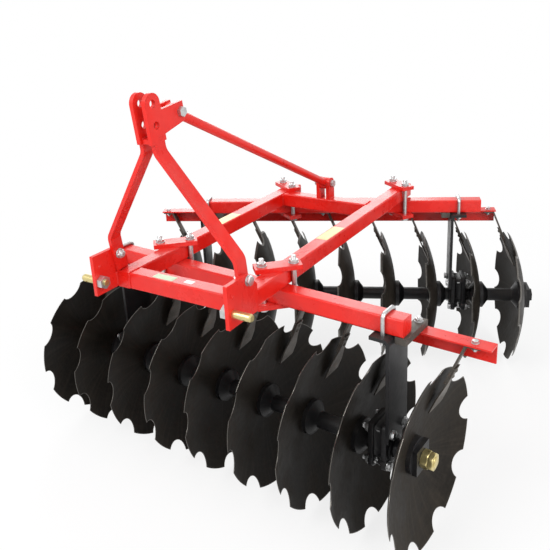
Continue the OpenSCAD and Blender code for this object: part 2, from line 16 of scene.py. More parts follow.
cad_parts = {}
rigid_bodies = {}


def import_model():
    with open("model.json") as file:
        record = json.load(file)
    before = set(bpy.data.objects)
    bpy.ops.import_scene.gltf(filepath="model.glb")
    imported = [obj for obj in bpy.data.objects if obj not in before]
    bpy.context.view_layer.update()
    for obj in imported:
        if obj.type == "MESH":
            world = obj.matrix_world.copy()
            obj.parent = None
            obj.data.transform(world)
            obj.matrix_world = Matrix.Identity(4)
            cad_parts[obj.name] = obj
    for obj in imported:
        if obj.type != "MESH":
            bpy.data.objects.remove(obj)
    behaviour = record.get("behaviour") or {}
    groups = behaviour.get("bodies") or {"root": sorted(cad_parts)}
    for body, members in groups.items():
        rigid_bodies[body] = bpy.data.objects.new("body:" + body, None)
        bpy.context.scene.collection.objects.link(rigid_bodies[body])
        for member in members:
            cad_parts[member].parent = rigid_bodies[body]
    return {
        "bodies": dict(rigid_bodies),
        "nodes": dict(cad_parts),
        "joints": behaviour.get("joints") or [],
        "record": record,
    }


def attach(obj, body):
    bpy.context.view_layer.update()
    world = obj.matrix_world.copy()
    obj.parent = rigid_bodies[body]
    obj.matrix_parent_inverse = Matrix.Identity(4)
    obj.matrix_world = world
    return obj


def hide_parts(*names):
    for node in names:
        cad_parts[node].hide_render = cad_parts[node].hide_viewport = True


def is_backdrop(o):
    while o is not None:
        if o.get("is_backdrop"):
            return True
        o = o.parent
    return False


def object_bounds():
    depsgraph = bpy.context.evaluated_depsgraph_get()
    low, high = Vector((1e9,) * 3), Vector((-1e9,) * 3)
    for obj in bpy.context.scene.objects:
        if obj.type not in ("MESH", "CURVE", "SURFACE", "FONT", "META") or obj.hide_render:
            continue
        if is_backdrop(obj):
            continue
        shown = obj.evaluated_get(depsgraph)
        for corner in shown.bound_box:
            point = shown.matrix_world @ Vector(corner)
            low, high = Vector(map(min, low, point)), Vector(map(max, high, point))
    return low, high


LOG = logging.getLogger("disc_harrow")

Array = np.ndarray
Socket = bpy.types.NodeSocket
Feed = Union[Socket, float, tuple]


# Shared sizes


@dataclass(frozen=True)
class Layout:
    """Sizes that several sub-assemblies share, in metres, as in the CAD part."""

    centre_x: float = -0.035
    front_y: float = -0.723
    axis_z: float = 0.255
    tube: float = 0.050
    frame_half: float = 0.225
    side_x: float = 0.200
    beam_z: float = 0.610
    side_z: float = 0.660
    side_top: float = 0.710
    disc_pitch: float = 0.165
    disc_t: float = 0.004
    disc_count: int = 9
    rim_in: float = 0.05426
    inner_spool: int = 1
    outer_spool: int = 7
    rear_cross_y: float = 0.8549
    plate_t: float = 0.012
    mast_t: float = 0.012
    mast_y: float = 0.010
    mast_z: float = 0.762

    def point(self, x: float, y: float, z: float) -> Array:
        """Point in the row frame, from mid width and the front of the frame."""
        return np.array([self.centre_x + x, self.front_y + y, z])


LAYOUT = Layout()


def about_z(angle: float) -> Array:
    """Rotation about Z by an angle, as a 3 by 3 matrix."""
    c, s = math.cos(angle), math.sin(angle)
    return np.array([[c, -s, 0.0], [s, c, 0.0], [0.0, 0.0, 1.0]])


class Side(Enum):
    """The two gangs, named as in the CAD nodes."""

    FRONT = "front"
    REAR = "rear"


@dataclass(frozen=True)
class GangFrame:
    """Local frame of a gang: X along the shaft to where the dishes open, Y rearward, Z up.

    The two values of outer_arm are the ends of the outer scraper arm along X from its bearing.
    The values of disc_turns are in degrees about the shaft, from a tooth straight down.
    """

    side: Side
    line_y: float
    angle: float
    mirrored: bool
    disc_shift: float
    outer_arm: tuple
    disc_turns: tuple

    @property
    def body(self) -> str:
        """Name of the turning body."""
        return self.named("gang")

    def named(self, part: str) -> str:
        """Name of a part of this gang."""
        return f"{self.side.value}_{part}"

    def matrix(self) -> Array:
        """Rotation about Z by the gang's angle, after the mirror of X where there is one."""
        return about_z(self.angle) @ np.diag([-1.0 if self.mirrored else 1.0, 1.0, 1.0])

    def world(self, points: Array) -> Array:
        """Carries local points, of shape (n, 3), into the row frame."""
        return points @ self.matrix().T + LAYOUT.point(0.0, self.line_y, 0.0)

    def carry(self, shell: "Shell", turn: Array, origin: Iterable[float]) -> "Shell":
        """Turns a shell, sets it at a local origin and carries it into the row frame."""
        local = shell.moved(turn, np.array(tuple(origin)))
        return Shell(self.world(local.points), local.quads, local.tris, local.values)

    def seat_x(self, k: float) -> float:
        """Local X of the seat of disc k."""
        return self.disc_shift + (k - (LAYOUT.disc_count - 1) / 2) * LAYOUT.disc_pitch

    def bearing_x(self, spool: int) -> float:
        """Local X of the middle of the bearing on a spool."""
        return self.seat_x(spool) + LAYOUT.disc_t + (LAYOUT.disc_pitch - LAYOUT.disc_t) / 2


GANGS = (
    GangFrame(side=Side.FRONT, line_y=0.225, angle=math.radians(-4.0), mirrored=False,
              disc_shift=-0.039, outer_arm=(0.039, 0.071),
              disc_turns=(-17.5, -7.5, 8.0, -12.5, 6.5, -18.5, -0.5, 13.0, -5.0)),
    GangFrame(side=Side.REAR, line_y=1.025, angle=math.radians(24.0), mirrored=True,
              disc_shift=-0.043, outer_arm=(-0.053, -0.021),
              disc_turns=(-18.5, 18.5, -11.0, 17.5, 10.5, -15.0, 4.0, 19.0, -8.0)),
)


# Surfaces worked out as arrays


@dataclass
class Shell:
    """A closed surface: points (n, 3), quads (m, 4), triangles (k, 3) and point values."""

    points: Array
    quads: Array
    tris: Array
    values: dict[str, Array]

    def moved(self, turn: Array, origin: Array) -> "Shell":
        """Turned by a 3 by 3 matrix and moved to an origin."""
        return Shell(self.points @ turn.T + origin, self.quads, self.tris, self.values)

    def raised(self, height: float) -> "Shell":
        """Moved up by a height."""
        return self.moved(UPRIGHT, np.array([0.0, 0.0, height]))

    def outward(self) -> "Shell":
        """Turns the faces outwards.

        Returns:
            The same shell, with every face reversed where the signed volume, which is the sum of
            a . (b x c) / 6 over the triangles, is negative.
        """
        halves = [self.tris, self.quads[:, [0, 1, 2]], self.quads[:, [0, 2, 3]]]
        a, b, c = (self.points[np.concatenate(halves)[:, i]] for i in range(3))
        if np.einsum("ij,ij->", a, np.cross(b, c)) < 0.0:
            return Shell(self.points, self.quads[:, ::-1], self.tris[:, ::-1], self.values)
        return self


NO_TRIS = np.zeros((0, 3), dtype=int)
UPRIGHT = np.eye(3)
DOWN = np.diag([1.0, -1.0, -1.0])
ALONG_X = np.array([[0.0, 0.0, 1.0], [0.0, 1.0, 0.0], [-1.0, 0.0, 0.0]])
AGAINST_X = ALONG_X @ DOWN
HERE = (0.0, 0.0, 0.0)
SIDES = (-1.0, 1.0)


def joined(shells: Iterable[Shell]) -> Shell:
    """Puts shells into one, each with its faces outwards.

    Args:
        shells: the shells, each with the same point values.

    Returns:
        One shell that holds them all.
    """
    parts = [shell.outward() for shell in shells]
    starts = np.cumsum([0] + [len(p.points) for p in parts])
    return Shell(
        np.concatenate([p.points for p in parts]),
        np.concatenate([p.quads + s for p, s in zip(parts, starts)]),
        np.concatenate([p.tris + s for p, s in zip(parts, starts)]),
        {k: np.concatenate([p.values[k] for p in parts]) for k in parts[0].values},
    )


def grid_quads(rows: int, columns: int, wrap_rows: bool = False) -> Array:
    """Quads between the points of a grid whose columns go right round.

    Args:
        rows: number of rows of points.
        columns: number of points in a row.
        wrap_rows: whether the last row also meets the first.

    Returns:
        Point numbers, four to a face.
    """
    r = np.arange(rows if wrap_rows else rows - 1)[:, None]
    c = np.arange(columns)[None, :]
    up, on = (r + 1) % rows, (c + 1) % columns
    corners = (r * columns + c, r * columns + on, up * columns + on, up * columns + c)
    return np.stack(np.broadcast_arrays(*corners), axis=-1).reshape(-1, 4)


def tube_shell(rings: Array) -> Shell:
    """Closed surface through rings of points, with a fan over each end.

    Args:
        rings: points on a grid of shape (rings, around, 3).

    Returns:
        The shell, with the middle of the first and of the last ring as its poles.
    """
    rows, columns, _ = rings.shape
    points = np.concatenate([rings.reshape(-1, 3), rings[[0, -1]].mean(axis=1)])
    j = np.arange(columns)
    k = (j + 1) % columns
    low = np.stack([np.full(columns, rows * columns), k, j], axis=1)
    last = (rows - 1) * columns
    high = np.stack([np.full(columns, rows * columns + 1), last + j, last + k], axis=1)
    return Shell(points, grid_quads(rows, columns), np.concatenate([low, high]), {})


def ring_shell(rings: Array, values: dict[str, Array]) -> Shell:
    """Surface through rings of points whose last ring also meets the first.

    Args:
        rings: points on a grid of shape (rings, around, 3).
        values: point values.

    Returns:
        The shell, closed in both directions.
    """
    quads = grid_quads(rings.shape[0], rings.shape[1], wrap_rows=True)
    return Shell(rings.reshape(-1, 3), quads, NO_TRIS, values)


def angles(count: int) -> Array:
    """Angles of points set evenly right round."""
    return np.linspace(0.0, 2.0 * np.pi, count, endpoint=False)


def lathe(radius: Array, height: Array, around: int = 24) -> Shell:
    """Surface of revolution about Z: (r cos a, r sin a, h) on a grid of stations by angles.

    Args:
        radius: radius at each station, of shape (stations,) or (stations, around).
        height: height of each station.
        around: points around the axis, where the radius has none.

    Returns:
        The closed shell.
    """
    r = np.repeat(radius[:, None], around, axis=1) if radius.ndim == 1 else radius
    a, z = angles(r.shape[1]), np.broadcast_to(height[:, None], r.shape)
    return tube_shell(np.stack([r * np.cos(a), r * np.sin(a), z], axis=-1))


def hexagon(flats: float, around: int = 36) -> Array:
    """Radius of a hexagon by angle: half the flats over the cosine of the angle from a flat."""
    a = angles(around)
    return flats / 2.0 / np.cos((a + np.pi / 6.0) % (np.pi / 3.0) - np.pi / 6.0)


def hex_head(flats: float, height: float) -> Shell:
    """Bolt head or nut: a hexagon cut by a cone at both ends.

    Args:
        flats: width across the flats.
        height: height of the head.

    Returns:
        The shell, standing on z = 0. Its radius is the lesser of the hexagon's and the
        cone's, which falls from the corner to just inside the flats over the chamfer.
    """
    chamfer = 0.16 * height
    corner, fall, power = 1.155, 0.175, 1.4
    t = np.linspace(0.0, 1.0, 4)
    cone = flats / 2.0 * (corner - fall * t**power)
    z = np.concatenate([chamfer * 0.5 * t, height - chamfer * (1.0 - t)])
    limit = np.concatenate([cone[::-1], cone])
    return lathe(np.minimum(hexagon(flats)[None, :], limit[:, None]), z)


def washer(radius: float, thick: float) -> Shell:
    """Plain round washer with its rim eased, standing on z = 0."""
    r = radius * np.array([0.96, 1.0, 1.0, 0.96])
    return lathe(r, thick * np.array([0.0, 0.15, 0.85, 1.0]))


def thread(radius: float, length: float, pitch: float) -> Shell:
    """Threaded end along Z, with its tip drawn in.

    Args:
        radius: radius over the crests.
        length: length of the end.
        pitch: distance from crest to crest.

    Returns:
        The shell, whose radius falls and rises by a triangle wave along Z.
    """
    depth, tip = 0.35 * pitch, 0.8 * radius
    n = max(4, int(round(length / pitch)) * 2 + 1)
    r = radius - depth * (np.arange(n) % 2)
    r[-1] = tip
    return lathe(r, np.linspace(0.0, length, n))


def basis(axis: Iterable[float]) -> Array:
    """Turn that takes Z to an axis, as a 3 by 3 matrix."""
    return np.array(Vector(tuple(axis)).to_track_quat("Z", "Y").to_matrix())


def rod(path: Array, across: Array, radius: float, around: int = 16) -> Shell:
    """Round rod along a flat path.

    Args:
        path: points (n, 3) of the middle line, in a plane square to across.
        across: unit vector square to the path's plane.
        radius: radius of the rod.
        around: points around the rod.

    Returns:
        The shell: p + r (cos a e + sin a (t x e)), with e across and t the path's direction.
    """
    run = np.gradient(path, axis=0)
    run /= np.linalg.norm(run, axis=1, keepdims=True)
    side = np.cross(run, across)
    a = angles(around)[None, :, None]
    return tube_shell(path[:, None] + radius * (np.cos(a) * across + np.sin(a) * side[:, None]))


@dataclass(frozen=True)
class BoltKind:
    """Sizes of one kind of hex bolt, with its nut and washers."""

    shank_r: float
    flats: float
    head: float
    washer_r: float
    washer_t: float
    pitch: float
    shank_share: float = 0.96
    sunk: float = 0.001

    def fitted(self, grip: float, tail: float) -> Shell:
        """Bolt along Z through parts from z = 0 to the grip, its nut on top.

        Args:
            grip: thickness of what it holds.
            tail: thread that stands past the nut.

        Returns:
            Head, two washers, shank, nut and threaded end in one shell.
        """
        w, high = self.washer_t, grip + self.washer_t + self.head
        head, ring = hex_head(self.flats, self.head), washer(self.washer_r, w)
        shank = lathe(np.full(2, self.shank_share * self.shank_r),
                      np.array([-w - 0.5 * self.head, high - self.sunk]))
        end = thread(self.shank_r, tail, self.pitch)
        return joined([head.raised(-w - self.head), ring.raised(-w), shank,
                       ring.raised(grip), head.raised(grip + w), end.raised(high)])


# Shank radius, width over flats, head, washer radius, washer thickness and pitch
M16 = BoltKind(0.008, 0.024, 0.0085, 0.0150, 0.0025, 0.0020)
M14 = BoltKind(0.007, 0.022, 0.0080, 0.0140, 0.0022, 0.0020)
M12 = BoltKind(0.006, 0.018, 0.0075, 0.0120, 0.0020, 0.0017)
M10 = BoltKind(0.005, 0.016, 0.0064, 0.0100, 0.0016, 0.0015)
U_BOLT = BoltKind(0.006, 0.018, 0.0095, 0.0115, 0.0020, 0.00175)


def bead(start: Array, end: Array, width: float, ripple: float = 0.006) -> Shell:
    """Weld bead between two points.

    Args:
        start: first end of the bead.
        end: last end of the bead.
        width: half width of the bead.
        ripple: length of one ripple.

    Returns:
        A round bead whose radius is width (1 - q + q |sin(pi s / ripple)|) at length s, with q
        the swell. It falls off at both ends, and each ring is bowed back along the bead.
    """
    swell, bowed, blunt, around = 0.2, 0.25, 0.02, 10
    per_ripple, fewest, most = 4, 12, 260
    length = float(np.linalg.norm(end - start))
    s = np.linspace(0.0, length, int(np.clip(length / ripple * per_ripple, fewest, most)))
    a = angles(around)
    fall = np.sqrt(np.clip(np.minimum(s, length - s) / width, blunt, 1.0))
    r = width * (1.0 - swell + swell * np.abs(np.sin(np.pi * s / ripple))) * fall
    bow = bowed * ripple * np.cos(2.0 * a)[None, :] * fall[:, None]
    ring = np.stack([r[:, None] * np.cos(a), r[:, None] * np.sin(a), s[:, None] + bow], axis=-1)
    return tube_shell(ring).moved(basis((end - start) / length), start)


def slab(width: float, length: float, thick: float, corner: float) -> Shell:
    """Thin label with round corners, its middle at the origin and its back on z = 0.

    Args:
        width: size along X.
        length: size along Y.
        thick: thickness.
        corner: corner radius.

    Returns:
        The shell. Its outline is a circle of the corner radius about each inner corner, and
        inner rings are that outline drawn in towards the middle.
    """
    around, off_axis = 40, 1e-6
    a = angles(around) + off_axis
    centre = np.stack([np.sign(np.cos(a)) * (width / 2 - corner),
                       np.sign(np.sin(a)) * (length / 2 - corner)], axis=-1)
    edge = centre + corner * np.stack([np.cos(a), np.sin(a)], axis=-1)
    inward = np.array([0.995, 1.0, 1.0, 0.995, 0.6, 0.2])
    z = thick * np.array([0.0, 0.1, 0.8, 1.0, 1.0, 1.0])
    rings = np.concatenate([edge[None] * inward[:, None, None],
                            np.broadcast_to(z[:, None, None], (len(z), around, 1))], axis=-1)
    return tube_shell(rings)


def add_piece(name: str, shell: Shell, body: str, material: bpy.types.Material,
              slot: str, sharp: float) -> bpy.types.Object:
    """Makes a mesh object of a shell, dresses it and sets it on a body.

    Args:
        name: name of the new object.
        shell: its surface, in the row frame.
        body: CAD body that it rides on.
        material: its finish.
        slot: material slot of the record that the finish belongs to; not used.
        sharp: angle in degrees past which an edge is drawn sharp.

    Returns:
        The new object.
    """
    mesh = bpy.data.meshes.new(name)
    mesh.vertices.add(len(shell.points))
    mesh.vertices.foreach_set("co", shell.points.astype(np.float32).ravel())
    corners = np.concatenate([shell.quads.ravel(), shell.tris.ravel()]).astype(np.int32)
    mesh.loops.add(len(corners))
    mesh.loops.foreach_set("vertex_index", corners)
    quads, tris = len(shell.quads), len(shell.tris)
    starts = np.concatenate([np.arange(quads) * 4, quads * 4 + np.arange(tris) * 3])
    mesh.polygons.add(quads + tris)
    mesh.polygons.foreach_set("loop_start", starts.astype(np.int32))
    mesh.update(calc_edges=True)
    for key, value in shell.values.items():
        if value.ndim == 2:
            layer = mesh.uv_layers.new(name=key)
            layer.data.foreach_set("uv", value[corners].astype(np.float32).ravel())
        else:
            layer = mesh.attributes.new(key, "FLOAT", "POINT")
            layer.data.foreach_set("value", value.astype(np.float32))
    mesh.validate()
    mesh.polygons.foreach_set("use_smooth", np.ones(len(mesh.polygons), dtype=bool))
    mesh.set_sharp_from_angle(angle=math.radians(sharp))
    mesh.materials.append(material)
    piece = bpy.data.objects.new(name, mesh)
    bpy.context.scene.collection.objects.link(piece)
    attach(piece, body)
    LOG.info("piece %s on %s: %d faces", name, body, quads + tris)
    return piece


# Shader graphs


class Graph:
    """Short way to add and join nodes in one shader tree."""

    def __init__(self, tree: bpy.types.NodeTree) -> None:
        """Keeps the tree that nodes are added to."""
        self.tree = tree

    @classmethod
    def cleared(cls, owner: Union[bpy.types.Material, bpy.types.World]) -> "Graph":
        """Graph of a new material or world, without the nodes that it came with.

        Args:
            owner: the material or world.

        Returns:
            Its empty graph.
        """
        owner.use_nodes = True
        owner.node_tree.nodes.clear()
        return cls(owner.node_tree)

    def node(self, kind: str, **settings: object) -> bpy.types.Node:
        """Adds a node.

        Args:
            kind: Blender's name for the kind of node.
            **settings: properties to set on it.

        Returns:
            The new node.
        """
        made = self.tree.nodes.new(kind)
        for key, value in settings.items():
            setattr(made, key, value)
        return made

    def feed(self, target: Socket, value: Feed) -> None:
        """Links a socket, or sets a plain value, into an input.

        Args:
            target: input of a node.
            value: socket, number or tuple. A colour may leave out its alpha.
        """
        if isinstance(value, Socket):
            self.tree.links.new(value, target)
        elif isinstance(value, tuple) and len(value) == 3 and target.type == "RGBA":
            target.default_value = (*value, 1.0)
        else:
            target.default_value = value

    def feed_all(self, node: bpy.types.Node, inputs: dict[str, Feed]) -> None:
        """Feeds the named inputs of a node."""
        for key, value in inputs.items():
            self.feed(node.inputs[key], value)

    def math(self, operation: str, a: Feed, b: Feed = 0.0, clamp: bool = False) -> Socket:
        """Math node on two values.

        Args:
            operation: Blender's name for the operation.
            a: first value.
            b: second value.
            clamp: whether the result is kept between 0 and 1.

        Returns:
            The result.
        """
        made = self.node("ShaderNodeMath", operation=operation, use_clamp=clamp)
        self.feed(made.inputs[0], a)
        self.feed(made.inputs[1], b)
        return made.outputs[0]

    def vector(self, operation: str, *values: Feed) -> Socket:
        """Vector Math node.

        Args:
            operation: Blender's name for the operation.
            *values: the vectors.

        Returns:
            The result, a number for a length or a dot product and else a vector.
        """
        made = self.node("ShaderNodeVectorMath", operation=operation)
        for socket, value in zip(made.inputs, values):
            self.feed(socket, value)
        return made.outputs["Value" if operation in ("LENGTH", "DOT_PRODUCT") else "Vector"]

    def mix(self, factor: Feed, a: Feed, b: Feed) -> Socket:
        """Colour mixed by a factor.

        Args:
            factor: 0 for a and 1 for b.
            a: first colour.
            b: second colour.

        Returns:
            The colour.
        """
        made = self.node("ShaderNodeMix", data_type="RGBA")
        for place, value in ((0, factor), (6, a), (7, b)):
            self.feed(made.inputs[place], value)
        return made.outputs[2]

    def ramp(self, value: Feed, low: float, high: float, out_low: float = 0.0,
             out_high: float = 1.0) -> Socket:
        """Value carried smoothly from one range into another.

        Args:
            value: the value.
            low: start of its range.
            high: end of its range.
            out_low: result at the start.
            out_high: result at the end.

        Returns:
            The result.
        """
        made = self.node("ShaderNodeMapRange", interpolation_type="SMOOTHSTEP")
        for socket, number in zip(made.inputs, (value, low, high, out_low, out_high)):
            self.feed(socket, number)
        return made.outputs[0]

    def noise(self, vector: Feed, scale: Feed, detail: float = 4.0, rough: float = 0.55) -> Socket:
        """Value of a noise.

        Args:
            vector: where it is read.
            scale: its scale.
            detail: number of finer layers.
            rough: weight of the finer layers.

        Returns:
            The value.
        """
        made = self.node("ShaderNodeTexNoise")
        self.feed_all(made, {"Vector": vector, "Scale": scale, "Detail": detail,
                             "Roughness": rough})
        return made.outputs[0]

    def stretched(self, vector: Feed, scale: tuple) -> Socket:
        """Vector scaled by a Mapping node.

        Args:
            vector: the vector.
            scale: factor along each axis.

        Returns:
            The scaled vector.
        """
        made = self.node("ShaderNodeMapping")
        self.feed_all(made, {"Vector": vector, "Scale": scale})
        return made.outputs[0]

    def place(self) -> Socket:
        """Object coordinates."""
        return self.node("ShaderNodeTexCoord").outputs["Object"]

    def seen(self) -> Socket:
        """Which rays see the background.

        Returns:
            1 for rays of the camera, reflections and refractions, else 0.
        """
        path = self.node("ShaderNodeLightPath").outputs
        mirrored = self.math("MAXIMUM", path["Is Glossy Ray"], path["Is Transmission Ray"])
        return self.math("MAXIMUM", path["Is Camera Ray"], mirrored)

    def group(self, tree: bpy.types.NodeTree, **inputs: Feed) -> Socket:
        """Places an effect group.

        Args:
            tree: the group.
            **inputs: its inputs, named in lower case.

        Returns:
            Its only output.
        """
        made = self.node("ShaderNodeGroup", node_tree=tree)
        self.feed_all(made, {key.title(): value for key, value in inputs.items()})
        return made.outputs[0]


class Effects:
    """Shader groups for effects that several finishes share, each made once."""

    def __init__(self) -> None:
        """Makes the groups."""
        self.edge_wear = self._edge_wear()
        self.settled_dust = self._settled_dust()
        self.mottle = self._mottle()
        self.fine_skin = self._fine_skin()

    @staticmethod
    def _start(name: str, output: str, **inputs: float) -> tuple:
        """Empty group with a Vector input, number inputs and a number output.

        Args:
            name: name of the group.
            output: name of its output.
            **inputs: names of the number inputs with their usual values.

        Returns:
            Its graph, the sockets of its input node and the socket of its output node.
        """
        tree = bpy.data.node_groups.new(name, "ShaderNodeTree")
        face = tree.interface
        face.new_socket(name="Vector", in_out="INPUT", socket_type="NodeSocketVector")
        for key, value in inputs.items():
            made = face.new_socket(name=key, in_out="INPUT", socket_type="NodeSocketFloat")
            made.default_value = value
        face.new_socket(name=output, in_out="OUTPUT", socket_type="NodeSocketFloat")
        graph = Graph(tree)
        into, out = graph.node("NodeGroupInput"), graph.node("NodeGroupOutput")
        return graph, into.outputs, out.inputs[output]

    def _edge_wear(self) -> bpy.types.NodeTree:
        """Mask of worn edges.

        Returns:
            The group: where a rounded normal leaves the face's own, broken up by noise.
        """
        g, into, out = self._start("Edge wear", "Mask", Width=0.002, Scale=60.0, Amount=1.0)
        rounded = g.node("ShaderNodeBevel", samples=4)
        g.feed(rounded.inputs["Radius"], into["Width"])
        normal = g.node("ShaderNodeNewGeometry").outputs["Normal"]
        edge = g.ramp(g.vector("DOT_PRODUCT", rounded.outputs[0], normal), 0.99, 0.86)
        chips = g.ramp(g.noise(into["Vector"], into["Scale"], 6.0), 0.52, 0.66)
        g.feed(out, g.math("MULTIPLY", g.math("MULTIPLY", edge, chips), into["Amount"], True))
        return g.tree

    def _settled_dust(self) -> bpy.types.NodeTree:
        """Mask of dust.

        Returns:
            The group: more on faces that look up, in soft patches.
        """
        g, into, out = self._start("Settled dust", "Mask", Scale=9.0, Amount=0.5)
        split = g.node("ShaderNodeSeparateXYZ")
        g.feed(split.inputs[0], g.node("ShaderNodeNewGeometry").outputs["Normal"])
        up = g.ramp(split.outputs["Z"], -0.2, 1.0, 0.25, 1.0)
        patch = g.ramp(g.noise(into["Vector"], into["Scale"], 7.0, 0.62), 0.35, 0.8)
        g.feed(out, g.math("MULTIPLY", g.math("MULTIPLY", up, patch), into["Amount"], True))
        return g.tree

    def _mottle(self) -> bpy.types.NodeTree:
        """Slow change over a surface.

        Returns:
            The group: from 0 to 1, with a finer change inside it.
        """
        g, into, out = self._start("Mottle", "Value", Scale=5.0)
        broad = g.noise(into["Vector"], into["Scale"], 3.0)
        fine = g.noise(into["Vector"], g.math("MULTIPLY", into["Scale"], 9.0), 5.0)
        both = g.math("ADD", g.math("MULTIPLY", broad, 0.65), g.math("MULTIPLY", fine, 0.35))
        g.feed(out, g.ramp(both, 0.3, 0.7))
        return g.tree

    def _fine_skin(self) -> bpy.types.NodeTree:
        """Height of a sprayed or cast skin.

        Returns:
            The group: fine bumps over a slow roll.
        """
        g, into, out = self._start("Fine skin", "Height", Scale=260.0, Roll=0.4)
        fine = g.noise(into["Vector"], into["Scale"], 2.0)
        slow = g.noise(into["Vector"], g.math("MULTIPLY", into["Scale"], 0.08), 2.0)
        g.feed(out, g.math("ADD", fine, g.math("MULTIPLY", slow, into["Roll"])))
        return g.tree


class MaterialGraph(Graph):
    """Graph of one material: its Principled shader, its coordinates and the shared effects."""

    def __init__(self, made: bpy.types.Material, effects: Effects) -> None:
        """Clears the material's graph and adds the shader.

        Args:
            made: the new material.
            effects: the shared groups.
        """
        super().__init__(Graph.cleared(made).tree)
        self.effects = effects
        self.at = self.place()
        self.shader = self.node("ShaderNodeBsdfPrincipled")
        self.feed(self.node("ShaderNodeOutputMaterial").inputs[0], self.shader.outputs[0])

    def mottle(self, scale: float) -> Socket:
        """Slow change from 0 to 1."""
        return self.group(self.effects.mottle, vector=self.at, scale=scale)

    def dust(self, scale: float, amount: float) -> Socket:
        """Mask of settled dust."""
        return self.group(self.effects.settled_dust, vector=self.at, scale=scale, amount=amount)

    def wear(self, width: float, scale: float, amount: float) -> Socket:
        """Mask of worn edges."""
        return self.group(self.effects.edge_wear, vector=self.at, width=width, scale=scale,
                          amount=amount)

    def skin(self, scale: float, roll: float) -> Socket:
        """Height of a sprayed or cast skin."""
        return self.group(self.effects.fine_skin, vector=self.at, scale=scale, roll=roll)

    def relief(self, height: Socket, depth: float, ease: float = 0.0015) -> None:
        """Bump on top of eased edges.

        Args:
            height: height of the bump, about 0 to 1.
            depth: depth in metres that a height of 1 stands for.
            ease: radius that sharp edges are eased by.
        """
        eased = self.node("ShaderNodeBevel", samples=4)
        self.feed(eased.inputs["Radius"], ease)
        bump = self.node("ShaderNodeBump")
        self.feed_all(bump, {"Strength": 1.0, "Distance": depth, "Height": height,
                             "Normal": eased.outputs[0]})
        self.feed(self.shader.inputs["Normal"], bump.outputs[0])


class Finish:
    """Base of the finishes: makes a material with one Principled shader."""

    name = "Finish"

    def material(self, effects: Effects) -> bpy.types.Material:
        """Makes the material.

        Args:
            effects: the shared groups.

        Returns:
            The material, with its graph filled.
        """
        made = bpy.data.materials.new(self.name)
        self.fill(MaterialGraph(made, effects))
        return made

    def fill(self, g: MaterialGraph) -> None:
        """Feeds the shader; each finish has its own way."""
        raise NotImplementedError


@dataclass(frozen=True)
class Enamel(Finish):
    """Glossy sprayed enamel with a sprayed skin, pale dust on top and chipped edges."""

    name: str = "Red enamel"
    colour: tuple = (0.76, 0.013, 0.006)
    deep: tuple = (0.64, 0.009, 0.005)
    chip: tuple = (0.30, 0.035, 0.025)
    dust: tuple = (0.62, 0.42, 0.38)
    dust_amount: float = 0.16
    gloss: float = 0.27
    specular: float = 0.32
    coat: float = 0.06
    coat_rough: float = 0.12
    coat_ior: float = 1.5
    depth: float = 0.00006

    def fill(self, g: MaterialGraph) -> None:
        """Colour from a slow mottle, dust and chips; roughness follows them.

        Args:
            g: graph of the material.
        """
        mottle, dust = g.mottle(scale=4.0), g.dust(scale=7.0, amount=self.dust_amount)
        worn = g.wear(width=0.0022, scale=70.0, amount=0.55)
        paint = g.mix(dust, g.mix(mottle, self.deep, self.colour), self.dust)
        rough = g.math("ADD", g.ramp(mottle, 0.0, 1.0, self.gloss - 0.05, self.gloss + 0.06),
                       g.math("MULTIPLY", g.math("ADD", dust, worn), 0.5), True)
        g.feed_all(g.shader, {
            "Base Color": g.mix(worn, paint, self.chip), "Roughness": rough,
            "Specular IOR Level": self.specular, "Coat Weight": self.coat,
            "Coat Roughness": self.coat_rough, "Coat IOR": self.coat_ior})
        g.relief(g.skin(scale=240.0, roll=0.8), self.depth)


@dataclass(frozen=True)
class BlackPaint(Finish):
    """Satin black paint over steel or a casting, dusty, with worn edges."""

    name: str = "Black paint"
    colour: tuple = (0.009, 0.009, 0.010)
    lift: float = 1.7
    worn: tuple = (0.10, 0.09, 0.085)
    dust: tuple = (0.070, 0.060, 0.051)
    rough: float = 0.34
    specular: float = 0.28
    grain: float = 150.0
    depth: float = 0.00012

    def fill(self, g: MaterialGraph) -> None:
        """Near black, greyed by dust, with bare steel at the edges.

        Args:
            g: graph of the material.
        """
        mottle, dust = g.mottle(scale=11.0), g.dust(scale=14.0, amount=0.45)
        worn = g.wear(width=0.002, scale=90.0, amount=0.8)
        paint = g.mix(mottle, self.colour, tuple(self.lift * c for c in self.colour))
        rough = g.math("ADD", g.ramp(mottle, 0.0, 1.0, self.rough - 0.06, self.rough + 0.08),
                       g.math("MULTIPLY", dust, 0.7), True)
        g.feed_all(g.shader, {
            "Base Color": g.mix(worn, g.mix(dust, paint, self.dust), self.worn),
            "Roughness": rough, "Specular IOR Level": self.specular})
        g.relief(g.skin(scale=self.grain, roll=1.0), self.depth)


